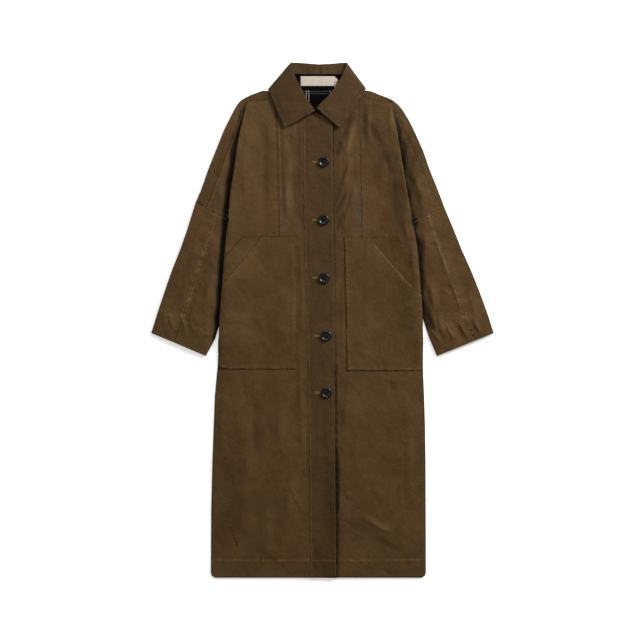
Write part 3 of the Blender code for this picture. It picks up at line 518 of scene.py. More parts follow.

# Soft light and dark bands, painted into the colour: painted highlights on ridges, painted shade in folds and
# painted shadows beside the collar, the placket and the arms: x0, y0, x1, y1, bow, half width, amount
bandsOfPaintedLightAndShade = [
    # left front
    (-80, 396, -86, 260, 3, 12, 0.3), (-97, 322, -97, 208, 0, 7, 0.18), (-66, 474, -62, 225, 2, 8, -0.5),
    (-174, 40, -186, -100, 4, 22, 0.1), (-230, -235, -226, -600, 4, 46, -0.34),
    (-164, -170, -158, -338, 3, 12, -0.3), (-78, -214, -74, -366, 3, 34, 0.16),
    (-60, -374, -48, -470, 3, 7, 0.16),
    # beside the placket
    (74, 498, 28, 386, 4, 5, -0.98), (66, 390, 27, 270, 4, 5, -0.95), (60, 314, 30, 246, 3, 4.5, -0.75),
    (54, 270, 28, 198, 3, 4.5, -0.7),
    # broad tones
    (150, 500, 138, 230, 4, 46, -0.12), (186, 500, 244, 330, 2, 30, -0.24),
    (236, 236, 262, 60, 2, 30, -0.1), (300, 230, 356, 60, 3, 26, -0.09),
    (-120, -230, -126, -560, 4, 40, -0.07),
    # right chest
    (80, 480, 60, 404, 3, 6, 0.55), (72, 400, 52, 336, 3, 6, 0.5), (70, 330, 54, 262, 3, 6, 0.45),
    (84, 336, 85, 208, 0, 9, -0.2), (104, 533, 101, 436, 2, 6, -0.85), (110, 474, 143, 417, -3, 10, -0.55),
    (143, 417, 171, 352, -3, 12, -0.65), (172, 372, 180, 250, -3, 14, -0.65),
    (182, 258, 188, 214, 2, 9, -0.36), (128, 470, 160, 404, 3, 8, 0.22), (168, 523, 168, 456, 1, 5, 0.34),
    (128, 350, 124, 220, 2, 14, 0.16),
    # right skirt and sleeve
    (52, -433, 74, -440, 1, 3, -0.55), (56, -488, 110, -519, 3, 6, -0.42),
    (110, -519, 190, -564, 3, 7, -0.38), (94, -472, 170, -517, 3, 7, 0.26),
    (168, -150, 172, -176, 1, 8, -0.3), (160, -262, 168, -284, 1, 9, -0.26),
    (150, -316, 146, -350, 1, 8, -0.22), (240, 318, 222, 258, 3, 10, -0.42),
    (250, 40, 270, -38, 3, 12, -0.7), (326, 60, 356, -20, 2, 16, 0.16), (-44, 470, 8, 482, 6, 5, -0.4),
    (-20, 452, 20, 444, 4, 4, 0.2), (154, -599, 180, -621, 1, 3, -0.45), (168, -594, 194, -620, 1, 3, -0.4),
    # under the collar and arm
    (36, 482, 38, 404, 2, 8, -0.85), (34, 400, 34, 212, 0, 4, -0.45), (190, 482, 206, 380, 3, 9, -0.46),
    (206, 452, 232, 372, -3, 7, -0.4), (226, 420, 250, 330, -3, 6, -0.34), (212, 380, 228, 300, 3, 7, -0.4),
    (-206, 500, -236, 400, -4, 9, -0.36), (-240, 420, -262, 330, 3, 7, -0.24),
    (-140, 560, -99, 458, 0, 6, -0.95), (-100, 462, -20, 502, 0, 3.5, -0.5), (-6, 504, 42, 460, 0, 7, -0.8),
    (112, 560, 78, 512, 0, 5, -0.65), (182, 476, 189, 456, 1, 4, -0.6), (206, 378, 221, 329, 3, 6, -0.85),
    (216, 346, 238, 302, -3, 5, -0.9), (201, 392, 211, 346, 2, 5, -0.85), (231, 346, 241, 312, 2, 3, 0.24),
    (219, 282, 227, 205, 1, 7, -0.75),
    # right cuff and the placket's edges
    (244, 46, 262, -12, 3, 5, -0.6), (252, 20, 272, -26, 2, 4, -0.5), (300, -20, 318, -62, 2, 5, -0.3),
    (318, -14, 336, -56, 2, 4, 0.24), (336, -10, 352, -50, 2, 5, -0.24), (356, -2, 372, -40, 2, 4, 0.22),
    (80, 514, 46, 464, 0, 6, -0.75), (-49, -150, -40, -410, 0, 3, 0.2),
    (-35, -238, -32, -540, 0, 2.6, -0.4),
]
# Painted light and shade on the collar: painted shade beside the leaf's edges, painted highlights on its
# rolls
collarBandsOfPaintedLightAndShade = [
    (-2, 512, 20, 510, 5, 2.4, -0.34), (-4, 516, 18, 514, 5, 2.4, 0.2), (-128, 556, -92, 474, 0, 7, -0.22),
    (-70, 620, -40, 540, 0, 5, 0.12), (50, 600, 4, 532, 0, 5, 0.14), (64, 560, 84, 520, 0, 14, 0.12),
]
blooms = [(-97, 330, -97, 206, 0, 8, 0.55), (84, 340, 86, 206, 0, 10, 0.45)]
standCreases = [
    (-35, 598, -36, 618, 1, 2.6, -0.9), (-23, 599, -24, 621, 1, 2.6, -0.8),
    (-4, 600, -6, 622, 1, 3.0, -1.0), (14, 598, 15, 612, 1, 2.4, -0.5), (-50, 599, -48, 615, 1, 2.4, -0.5),
    (30, 600, 28, 616, 1, 2.4, -0.5),
]
# Painted shade in the creases of the stand, with painted highlights between them
standBandsOfPaintedLightAndShade = [
    (-35, 596, -36, 620, 1, 2.8, -0.58), (-23, 597, -24, 623, 1, 2.6, -0.55),
    (-4, 596, -6, 624, 1, 3.0, -0.62), (-29, 598, -30, 620, 1, 2.4, 0.22), (2, 598, 1, 620, 1, 2.6, 0.2),
    (44, 600, 40, 618, 0, 7, -0.5),
]

# Shallow creases drawn up into the side that the coat lies on
backCreases = [
    (-150, 470, -60, 420, 8, 12, 0.5), (120, 480, 40, 430, -8, 12, 0.5), (-10, 500, -6, 250, 5, 10, 0.45),
    (-120, 300, -60, 120, 10, 14, 0.5), (100, 330, 60, 150, -9, 13, 0.45),
    (-190, 200, -110, 60, 8, 12, 0.5), (180, 160, 120, 20, -8, 12, 0.5), (-30, 60, -20, -260, 8, 15, 0.5),
    (90, -20, 110, -340, -10, 16, 0.5), (-140, -80, -160, -420, 10, 15, 0.5),
    (30, -300, 44, -590, 6, 13, 0.45), (-70, -380, -84, -600, 6, 12, 0.45),
    (190, -300, 200, -590, 5, 13, 0.45), (-220, -330, -226, -560, -5, 12, 0.4),
]
fields = {
    "crown": 3.2,            # soft height of the sleeves
    "crownReach": 34.0,
    "sideLift": 4.6,         # how far the sides of the body stand off the sleeves
    "sideReach": 48.0,
    "ripples": [(0.9, 0.45, 42.0, 3), (0.5, 0.6, 19.0, 4), (0.2, 1.0, 8.0, 5)],  # height, squeeze, cell, seed
    "lowerLayer": 1.7,       # top of the cloth that lies on the ground
    "upperLayer": 3.9,
    "deepest": -1.1,
}


def insideSide(x, y):  # distance in from the nearer side edge of the body, below zero on the sleeves
    left, _ = nearLine(x, y, sideLines["left"])
    right, _ = nearLine(x, y, sideLines["right"])
    return np.minimum(-left, right)


def coatLift(x, y, z):  # what the folds add to the height of a place on the coat, all in millimetres
    inner = insideSide(x, y)
    fade = smoothStep((z - fields["lowerLayer"]) / 0.8)
    lift = creaseLift(x, y, creases)
    for height, squeeze, cell, seed in fields["ripples"]:
        lift += height * softNoise(x, y * squeeze, cell, seed)
    arm = np.zeros(x.shape)
    for side in ("left", "right"):
        outer = np.abs(nearLine(x, y, outerLines[side])[0])
        under = np.abs(nearLine(x, y, innerLines[side])[0])
        under = np.minimum(under, np.maximum(-inner, 0))
        hump = smoothStep(outer / fields["crownReach"]) * smoothStep(under / fields["crownReach"])
        arm = np.maximum(arm, fields["crown"] * hump * (inner < 0) * smoothStep((530 - y) / 60))
    layer = smoothStep((z - fields["upperLayer"]) / 4.5)
    stand = smoothStep((505 - y) / 60) * (0.25 + 0.75 * smoothStep((y + 130) / 80))
    stand = fields["sideLift"] * stand * smoothStep(1 - inner / fields["sideReach"]) * (inner > -0.5)
    ends = smoothStep((y + 626) / 12)
    return (np.maximum(lift, fields["deepest"]) * (0.3 + 0.7 * ends) + arm) * fade + stand * layer


print("cloth")


def meshFrom(bm, name):
    mesh = bpy.data.meshes.new(name)
    bm.to_mesh(mesh)
    bm.free()
    return mesh


def arrays(mesh):
    count = len(mesh.vertices)
    places = np.empty(count * 3)
    mesh.vertices.foreach_get("co", places)
    normals = np.empty(count * 3)
    mesh.vertices.foreach_get("normal", normals)
    edges = np.empty(len(mesh.edges) * 2, int)
    mesh.edges.foreach_get("vertices", edges)
    return places.reshape(-1, 3), normals.reshape(-1, 3), edges.reshape(-1, 2)


def moveTo(mesh, places):
    mesh.vertices.foreach_set("co", places.ravel())
    mesh.update()


def setAttribute(mesh, name, values):
    made = mesh.attributes.get(name) or mesh.attributes.new(name, "FLOAT", "POINT")
    made.data.foreach_set("value", values.astype(np.float32))


def paintedFoldLightAndShade(mesh, x, y):  # painted light and shade in bands, with ridges painted a little paler and troughs darker
    normals = arrays(mesh)[1]
    if mesh.name.startswith("collar"):
        return creaseLift(x, y, standBandsOfPaintedLightAndShade + collarBandsOfPaintedLightAndShade) * (normals[:, 2] > 0.2)
    amount = creaseLift(x, y, bandsOfPaintedLightAndShade) + 0.04 * creaseLift(x, y, creases)
    amount = np.clip(amount, -0.85, 0.6) * (normals[:, 2] > 0.2)
    if mesh.name.startswith("back"):
        amount = np.where(normals[:, 2] < -0.2, -0.6 * creaseLift(x, y, backCreases), amount)
    return amount


def splitLong(bm, limit, seams=(), reach=8.0):  # halves long edges until none is left, all over or near seams
    for _ in range(8):
        edges = [edge for edge in bm.edges if edge.calc_length() > limit * mm]
        if seams and edges:
            middles = np.array([(edge.verts[0].co + edge.verts[1].co) / 2 for edge in edges]) / mm
            near = np.zeros(len(edges), bool)
            for seam in seams:
                near |= np.abs(nearLine(middles[:, 0], middles[:, 1], seam["line"])[0]) < reach
            edges = [edge for edge, close in zip(edges, near) if close]
        if not edges:
            break
        bmesh.ops.subdivide_edges(bm, edges=edges, cuts=1)
        bmesh.ops.triangulate(bm, faces=[face for face in bm.faces if len(face.verts) > 3])


def relax(mesh, steps):  # rounds the facets of a sheet's height, and keeps its rims and turned folds
    places, normals, edges = arrays(mesh)
    z = places[:, 2].copy()
    held = np.abs(normals[:, 2]) < 0.93
    a, b = edges[:, 0], edges[:, 1]
    weight = 1 / np.maximum(np.linalg.norm(places[a] - places[b], axis=1), 1e-5)
    total = np.bincount(a, weight, len(z)) + np.bincount(b, weight, len(z))
    for _ in range(steps):
        pulled = np.bincount(a, weight * z[b], len(z)) + np.bincount(b, weight * z[a], len(z))
        z = np.where(held, z, 0.4 * z + 0.6 * pulled / total)
    places[:, 2] = z
    moveTo(mesh, places)


def lifted(mesh, field):
    places = arrays(mesh)[0]
    places[:, 2] += field(places[:, 0] / mm, places[:, 1] / mm, places[:, 2] / mm) * mm
    moveTo(mesh, places)


def dressed(name, mesh, material):
    mesh.materials.clear()
    mesh.materials.append(material)
    mesh.shade_smooth()
    piece = bpy.data.objects.new(name, mesh)
    bpy.context.scene.collection.objects.link(piece)
    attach(piece, "root")
    return piece


def clothFrom(node, look, seams, field, steps=24):
    bm = bmesh.new()
    bm.from_mesh(nodes[node].data)
    bmesh.ops.remove_doubles(bm, verts=bm.verts, dist=1e-6)
    splitLong(bm, look["mesh"])
    if seams:
        splitLong(bm, look["fine"], seams)
    if "tight" in look:
        splitLong(bm, 3.6, [{"line": look["tight"]}], 30.0)
    mesh = meshFrom(bm, f"{node}_cloth")
    relax(mesh, steps)
    if field is not None:
        lifted(mesh, field)
    markSeams(mesh, seams)
    return mesh


def besideBody(x, y, z):  # painted shadow on the sleeves in the deep pleat that they make against the sides of the body
    inner = insideSide(x, y)
    uneven = softNoise(x, y, 26.0, 71)
    flat = np.where(x > 0, 3.5 + 3.0 * uneven, 6.5 + 2.0 * uneven)
    reach = np.where(x > 0, 14 + 9 * uneven, 12 + 3 * uneven)
    away = np.maximum(-inner, 0)
    beside = smoothStep(1 - (away - flat) / reach) ** 1.3
    low = smoothStep(1 - (z - 9.5) / 3.0) * (inner < 1.5)
    length = smoothStep((534 - y) / 30) * (0.8 + 0.2 * smoothStep((460 - y) / 120))
    return 0.975 * beside * low * length


# How dark the shadow under the free edge of the placket is, down its length: y, amount, width
placketShade = [
    (508, 0.5, 3), (480, 0.75, 4), (380, 0.5, 2.5), (205, 0.6, 2.5), (60, 0.5, 2), (-100, 0.55, 2.5),
    (-125, 0.8, 4), (-300, 0.85, 4), (-350, 0.98, 7), (-462, 0.98, 7), (-478, 0.8, 4), (-500, 0.92, 6),
    (-600, 0.85, 4), (-629, 0.8, 3.5),
]


# painted shadow under the free edge of the placket
def underPlacket(x, y, z):
    levels, amounts, widths = np.array(placketShade[::-1], float).T
    out = -nearLine(x, y, freeLine)[0]
    amount, width = np.interp(y, levels, amounts), np.interp(y, levels, widths)
    beside = (out > -0.4) * (y < 505) * (np.abs(x) < 70)
    return amount * smoothStep(1 - (out - 0.5 * width) / (1.3 * width)) * beside


def markSeams(mesh, seams):
    places = arrays(mesh)[0]
    x, y = places[:, 0] / mm, places[:, 1] / mm
    for kind, default, near in (("rows", (), "row"), ("worn", (0.0,), "worn"), ("dark", (), "dark")):
        nearest, signed = nearestOf(x, y, seams, kind, default)
        setAttribute(mesh, near, nearest)
        setAttribute(mesh, f"{near}Side", signed)
    setAttribute(mesh, "wear", wearAmount(x, y, seams))
    setAttribute(mesh, "crinkle", crinkleAmount(x, y, seams))
    # "tone" holds painted highlights and painted shade of the folds
    setAttribute(mesh, "tone", paintedFoldLightAndShade(mesh, x, y))
    z = places[:, 2] / mm
    above = z > 0.7  # not on the side that the coat lies on
    # painted shadow beside the body and under the placket
    shade = np.maximum(besideBody(x, y, z), underPlacket(x, y, z))
    setAttribute(mesh, "bloom", creaseLift(x, y, blooms) * above)
    setAttribute(mesh, "shade", shade * above * (not mesh.name.startswith("collar")))


def treeOf(mesh):
    bm = bmesh.new()
    bm.from_mesh(mesh)
    tree = BVHTree.FromBMesh(bm)
    bm.free()
    return tree


def topAt(tree, x, y):  # height of the top of a piece, in metres, or nothing
    return tree.ray_cast(Vector((x, y, 0.2)), down)[0]


pieces = {}


def clothPiece(node, mesh, look):
    piece = dressed(f"{node}_cloth", mesh, look.get("material", coatCloth))
    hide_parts(node)
    pieces[node] = piece
    return piece


# Lines in millimetres, as the maker would chalk them
sides = ("left", "right")
armLines = {"left": [(-284.3, 273.1), (-252, 357), (-215, 457), (-198, 509)],
            "right": [(286, 272.2), (246, 360), (202, 458), (180, 507)]}
shoulderLines = {"left": [(-188, 530.5), (-172, 534.8), (-134, 537.3), (-118, 549), (-98, 572)],
                 "right": [(169, 531), (143, 536), (106, 540.5), (91, 555), (74, 573)]}
hemRow = {"rows": (0.0,), "worn": (0.0, -2.4), "wear": 0.85, "wornWidth": 2.4, "band": 0.2, "pucker": 0.4}
panelRow = {"dark": (0.0,), "wear": 0.34, "band": 0.4}
armRow = {"wear": 0.45, "pucker": 0.3}
shoulderRow = {"wear": 0.5, "pucker": 0.3}
bodyEdge = {"rows": (), "wear": 0.5, "band": 0.0, "pucker": 0.25}
frontSeams = {
    "left": [
        {"line": [(-115, 536), (-111, 464), (-107, 317), (-105, 206)], "rows": (6.3, -6.6), "middle": 0.0,
         "worn": (5.5, -6.0), **panelRow},
        {"line": [(-271, -586), (-150, -588), (-30, -587)], **hemRow},
        {"line": [(-187.5, 527.5), (-195, 490), (-206, 437), (-212, 390), (-224, 315), (-237, 176),
                  (-251.5, -12), (-262, -171), (-268.5, -342), (-272.5, -620)], **bodyEdge},
        {"line": armLines["left"], "rows": (4.0,), "worn": (3.0, 7.0), **armRow},
        {"line": shoulderLines["left"], "rows": (5.0,), "worn": (2.0, 7.5), **shoulderRow},
        {"line": [(-284, 272), (-231.5, 249.6)], "rows": (-4.5,), "worn": (-2.5,), "wear": 0.5},
    ],
    "right": [
        {"line": [(90, 536), (92, 464), (95, 317), (96, 206)], "rows": (8.0,), "middle": 3.0,
         "worn": (7.2,), **panelRow},
        {"line": [(251, -583), (150, -585), (37, -585)], **hemRow},
        {"line": [(169.5, 527.5), (177, 490), (185, 437), (193, 390), (206, 315), (230.5, 176),
                  (244.5, -12), (247.5, -171), (251.5, -342), (252.5, -620)], **bodyEdge},
        {"line": armLines["right"], "rows": (-4.0, -1.0), "worn": (-3.0, -7.0), **armRow},
        {"line": shoulderLines["right"], "rows": (-5.0,), "worn": (-2.0, -7.5), **shoulderRow},
        {"line": [(286, 272), (220, 242.8)], "rows": (4.5,), "worn": (2.5,), "wear": 0.5},
    ],
}

frontLook = {
    "left": {"mesh": 7.0, "fine": 3.5, "flat": (0.42, 1.215), "area": 0.346},
    "right": {"mesh": 7.0, "fine": 3.5, "flat": (0.41, 1.215), "area": 0.335,
              "tight": [(64, 490), (56, 210)]},  # finer mesh along this line, for the sharp strokes
}
for side in sides:
    seams, look = frontSeams[side], frontLook[side]
    mesh = clothFrom(f"front_{side}", look, seams, lambda x, y, z: coatLift(x, y, z) + seamLift(x, y, seams))
    clothPiece(f"front_{side}", mesh, look)
    print(f"front_{side}", len(mesh.polygons))


def cutAlong(bm, line):  # splits the faces beside a line, so that a layer has a clean edge
    for start, end, length, before in runs(line):
        way = (end - start) / length
        near = []
        for face in bm.faces:
            middle = face.calc_center_median() / mm
            dx, dy = middle.x - start[0], middle.y - start[1]
            t = dx * way[0] + dy * way[1]
            if abs(dx * way[1] - dy * way[0]) < 7 and -6 < t < length + 6:
                near.append(face)
        around = list({vert for face in near for vert in face.verts})
        around += list({edge for face in near for edge in face.edges})
        bmesh.ops.bisect_plane(bm, geom=near + around, dist=1e-6, plane_co=(start[0] * mm, start[1] * mm, 0),
                               plane_no=(way[1], -way[0], 0))


backTop = 2.5 * mm  # faces lower than this belong to the cloth that lies on the ground


def layerOver(front, node, look, seams, extra=None):
    # A layer that follows the cloth under it: its top faces inside the plan of a node, moved out and walled
    plan = treeOf(nodes[node].data)
    bm = bmesh.new()
    bm.from_mesh(pieces[front].data)
    for line in look["outline"]:
        cutAlong(bm, line)
    bm.normal_update()
    off = []
    for face in bm.faces:
        middle = face.calc_center_median()
        if face.normal.z < 0.5 or middle.z < backTop or topAt(plan, middle.x, middle.y) is None:
            off.append(face)
    bmesh.ops.delete(bm, geom=off, context="FACES")
    bm.normal_update()
    for vert in bm.verts:
        vert.co += vert.normal * look["gap"] * mm
    mesh = meshFrom(bm, f"{node}_cloth")
    lifted(mesh, lambda x, y, z: seamLift(x, y, seams) + (extra(x, y) if extra else 0))
    markSeams(mesh, seams)
    wall = clothPiece(node, mesh, look).modifiers.new("wall", "SOLIDIFY")
    wall.thickness = look["wall"] * mm
    wall.offset = 1


print("pockets and placket")
pocketLook = {
    "left": {"inner": -66, "top": 204, "innerLow": -64, "bottom": -119.5, "openTop": (-147.6, 204),
             "openEnd": (-243, 86.5), "slant": (-236.7, 155), "outer": -194},
    "right": {"inner": 53.5, "top": 202.5, "innerLow": 60, "bottom": -123, "openTop": (110, 202.5),
              "openEnd": (237, 60), "slant": (234, 143), "outer": 179},
}
pocketSeams, sleeveSeams = {}, {}
pocketLayers = {
    "backing": {"flat": (0.193, 0.324), "area": 0.0588, "gap": 0.2, "wall": 0.45},
    "front": {"flat": (0.193, 0.324), "area": 0.053, "gap": 0.8, "wall": 0.55},
}
pocketRow = {"rows": (0.0,), "worn": (-3.4, 3.2), "wear": 0.42, "wornWidth": 1.8,
             "band": 0.25, "pucker": 0.22}
pocketHem = 7  # from the slanted opening to its row
for side in sides:
    size = pocketLook[side]
    sign = 1 if side == "left" else -1
    inner = [(size["inner"] - sign * 6, size["top"]), (size["innerLow"] - sign * 6, size["bottom"])]
    low = [(size["innerLow"], size["bottom"] + 5), (sign * -262, size["bottom"] + 5)]
    high = [(size["inner"], size["top"] - 5), (size["openTop"][0], size["top"] - 5)]
    (x0, y0), (x1, y1) = opening = [size["openTop"], size["openEnd"]]
    across = Vector((y0 - y1, x1 - x0)).normalized() * pocketHem
    if across.y > 0:
        across = -across
    hem = [(x + across.x, y + across.y) for x, y in opening]
    topInner, topOuter = (size["inner"], size["top"]), (size["outer"], size["top"])
    lowInner, lowOuter = (size["innerLow"], size["bottom"]), (-sign * 254, size["bottom"])
    rim = [(x, y - 0.8) for x, y in (topInner, topOuter, size["slant"])]  # a dark line just inside the top
    darkRim = {"rows": (), "dark": (0.0,), "worn": (), "pucker": 0.1}
    pocketSeams[side] = [
        *({"line": line, **pocketRow} for line in (inner, low, high, hem)),
        {"line": opening, "rows": (), "dark": (0.6,) if side == "left" else (), "worn": (1.2 * sign,),
         "wear": 0.25 if side == "left" else 0.7, "wornWidth": 2.2, "band": 0.3, "pucker": 0.2},
        {"line": rim[:2], **darkRim},
    ]
    look = {"outline": [[lowOuter, lowInner, topInner, topOuter, size["slant"]]], **pocketLayers["backing"]}
    layerOver(f"front_{side}", f"pocket_{side}_backing", look, [{"line": rim, **darkRim}])
    look = {"outline": [[lowOuter, lowInner, topInner, *opening]], **pocketLayers["front"]}
    layerOver(f"front_{side}", f"pocket_{side}_front", look, pocketSeams[side],
              lambda x, y: 0.25 + 0.25 * softNoise(x, y, 45.0, 9))

placketLine = [(-45.5, 508), (-44, 205), (-39, 49), (-33.5, -127), (-30.5, -390), (-27.5, -629)]
placketSeams = [
    {"line": placketLine, "rows": (-2.2,), "worn": (0.0, -2.4), "wear": 1.1, "wornWidth": 2.6,
     "band": 0.2, "pucker": 0.4},
    {"line": freeLine, "rows": (3.0,), "worn": (1.1,), "wear": 1.4, "wornWidth": 2.0,
     "band": 0.2, "pucker": 0.25},
    {"line": [(-27, -587), (33, -587)], **hemRow},
]
look = {"outline": [placketLine, freeLine], "flat": (0.071, 1.137), "area": 0.0765, "gap": 0.15, "wall": 0.5,
        "material": placketCloth}
placketCreases = [
    (-30, 460, -24, 300, 5, 6, 0.7), (-28, 210, -20, 60, -5, 6, 0.6), (-20, -20, -18, -200, 4, 6, 0.7),
    (10, -260, 14, -420, -4, 7, 0.8), (-12, -300, -16, -520, 4, 8, 0.8),
]
layerOver("front_left", "placket", look, placketSeams,
          lambda x, y: np.maximum(creaseLift(x, y, placketCreases), 0))

print("back and sleeves")
backLook = {"mesh": 11.0, "fine": 4.0, "flat": (0.66, 1.25), "area": 0.62}
backSeams = [{"line": armLines[side] + shoulderLines[side][:1], "rows": (), "wear": 0.35} for side in sides]
backSeams += [{"line": shoulderLines[side], "rows": (), "wear": 0.4} for side in sides]
backSeams.append({"line": [(-271, -586), (251, -583)], **hemRow})


def backLift(x, y, z):  # only what lies over the arms and the shoulders, and the creases of the underside
    over = coatLift(x, y, z) * ((insideSide(x, y) < 0) | (y > 533)) * (z > fields["lowerLayer"])
    return over + np.minimum(creaseLift(x, y, backCreases), 0.6) * (z < 0.3)


clothPiece("back", clothFrom("back", backLook, backSeams, backLift), backLook)

sleeveLines = {
    "left": {"seam": [(-260, 262), (-280, 197), (-297, 146), (-327, 48), (-362, -55)],
             "cuff": [(-394, 24), (-280, -32)], "edge": [(-312, 285), (-284, 272), (-231.5, 249.6)],
             "below": (-345, -6), "end": [(-417.9, -31.7), (-362, -55), (-284.3, -87.8)]},
    "right": {"seam": [(257.4, 259), (277, 199), (294, 150), (330, 53), (371, -51)],
              "cuff": [(401.5, 24.5), (260, -30.5)], "edge": [(299, 278), (286, 272), (220, 242.8)],
              "below": (354, -7), "end": [(417.9, -31.7), (371, -51), (279.4, -87.8)]},
}
sleeveFlat = {"outer": {"flat": (0.21, 0.37), "area": 0.0655},
              "inner": {"flat": (0.10, 0.36), "area": 0.0285}}
sleeveLook = {
    "mesh": 6.0, "fine": 3.5, "topTuck": 3.6, "centreTuck": 3.0, "tuckReach": 6.0, "tuckSink": 0.5,
    "lowerWall": 2.1,        # top of the wall that lies on the ground
}


def closeSeam(mesh, line, tuck):  # tucks the top of a sleeve under the edge that it is sewn to
    places = arrays(mesh)[0]
    away, _ = nearLine(places[:, 0] / mm, places[:, 1] / mm, line)
    (x0, y0), (x1, y1) = line[0], line[-1]
    way = np.array((y1 - y0, x0 - x1)) / math.hypot(x1 - x0, y1 - y0)
    drawn = np.exp(-((away / sleeveLook["tuckReach"]) ** 2))
    drawn *= (places[:, 2] > sleeveLook["lowerWall"] * mm) * mm
    places[:, 0] -= way[0] * tuck * drawn * np.sign(away)
    places[:, 1] -= way[1] * tuck * drawn * np.sign(away)
    places[:, 2] -= sleeveLook["tuckSink"] * drawn
    moveTo(mesh, places)


for side in sides:
    lines = sleeveLines[side]
    sign = 1 if side == "left" else -1
    seams = [
        {"line": lines["seam"][:-1] + [lines["below"]], "rows": (-3.6 * sign, 3.6 * sign),
         "worn": (-3.0, 0.4, 3.0), "wear": 1.4, "wornWidth": 4.6, "band": 0.8},
        {"line": lines["cuff"], "rows": (0.0,), "worn": (-2.5, 2.5), "wear": 0.6, "wornWidth": 2.0,
         "band": 0.2, "crinkle": 0.9 if side == "left" else 0.5},
        {"line": lines["edge"], "rows": (5.0 * sign,), "worn": (2.5 * sign,), "wear": 0.45,
         "pucker": 0.2, "crinkle": 0.3},
        {"line": lines["end"], "rows": (), "wear": 0.5, "band": 0.0, "pucker": 0.2},
    ]
    sleeveSeams[side] = seams
    for part in ("outer", "inner"):
        node = f"sleeve_{side}_{part}"
        look = {**sleeveLook, **sleeveFlat[part]}
        mesh = clothFrom(node, look, seams, None)
        closeSeam(mesh, lines["edge"], look["topTuck"])
        if part == "outer":
            closeSeam(mesh, lines["seam"], look["centreTuck"])
        lifted(mesh, lambda x, y, z: coatLift(x, y, z) + seamLift(x, y, seams) * (z > look["lowerWall"]))
        clothPiece(node, mesh, look)

print("collar and neck")
leafRow = {"wear": 0.5, "band": 0.1, "pucker": 0.2}
leafSeams = [
    {"line": [(-17.6, 509.5), (-93.5, 468), (-113.4, 516), (-133, 562.6)],
     "rows": (6.5,), "worn": (0.8,), "dark": (6.5,), **leafRow},
    {"line": [(-15.9, 515.8), (41.5, 468), (74, 516), (106.1, 564.9)],
     "rows": (-6.5,), "worn": (-0.8,), "dark": (-6.5,), **leafRow},
]
leafLook = {"material": collarCloth, "mesh": 5.0, "fine": 3.0, "flat": (0.50, 0.10), "area": 0.035}
collarCreases = [
    (10, 500, 40, 512, 4, 5, 0.9), (20, 486, 34, 500, 3, 4, 0.6), (-60, 560, -88, 530, 5, 12, 0.9),
    (60, 566, 80, 530, -5, 12, 0.9), (-52, 500, -84, 492, 3, 8, 0.6),
]


def collarField(x, y):
    lift = creaseLift(x, y, collarCreases) + 0.3 * softNoise(x, y, 26.0, 23) + 0.1 * softNoise(x, y, 8.0, 24)
    return np.maximum(lift, -0.2)


def collarLift(x, y, z):
    corner = smoothStep((572 - y) / 60)
    return smoothStep((z - 5.2) / 0.8) * (collarField(x, y) + seamLift(x, y, leafSeams) + 2.2 * corner)


clothPiece("collar_leaf", clothFrom("collar_leaf", leafLook, leafSeams, collarLift, 16), leafLook)
standSeams = [{"line": [(-66, 598), (48, 598)], "rows": (-3.0,), "wear": 0.4, "pucker": 0.3}]
standEdge = {"from": (-66, 596.5), "to": (48, 600.4)}  # drawn level, as its seam holds it
look = {"material": collarCloth, "mesh": 5.0, "fine": 3.0, "flat": (0.42, 0.034), "area": 0.0112}
mesh = clothFrom("collar_stand", look, standSeams,
                 lambda x, y, z: creaseLift(x, y, standCreases) * (z > 3), 12)
places = arrays(mesh)[0]
x, y = places[:, 0] / mm, places[:, 1] / mm
(left, low), (right, high) = standEdge["from"], standEdge["to"]
drawn = (x > left) & (x < right) & (y > low) & (y < high)
places[:, 1] = np.where(drawn, high * mm, places[:, 1])
moveTo(mesh, places)
clothPiece("collar_stand", mesh, look)
liningCloth = {"slot": "lining", "material": lining}
labelCloth = {"slot": "label", "material": label}
neckLooks = {  # from the lowest up
    "neck_lining": {"mesh": 8.0, "flat": (0.131, 0.096), "area": 0.0091, **liningCloth},
    "neck_label": {"mesh": 4.0, "flat": (0.083, 0.0236), "area": 0.00195, **labelCloth},
    "label_tail": {"mesh": 3.0, "flat": (0.0105, 0.0324), "area": 0.00016, **labelCloth},
}
for node, look in neckLooks.items():
    mesh = clothFrom(node, look, [], None, 8)
    if node == "neck_lining":  # runs on under the stand
        places = arrays(mesh)[0]
        places[:, 1] += 6 * mm * (places[:, 1] > 595.5 * mm)
        moveTo(mesh, places)
    clothPiece(node, mesh, look)

print("buttons")
buttonLook = {
    "thick": 3.6, "holeRadius": 1.1, "holeSpacing": 2.4, "sides": 56,
    "profile": [(0.0, 1.9), (5.6, 1.9), (6.8, 2.0), (8.0, 2.45), (9.2, 3.2), (10.0, 3.55), (10.8, 3.6),
                (11.7, 3.4), (12.5, 2.95), (13.1, 2.2), (12.9, 1.4), (11.9, 0.5), (10.6, 0.05), (0.0, 0.0)],
}


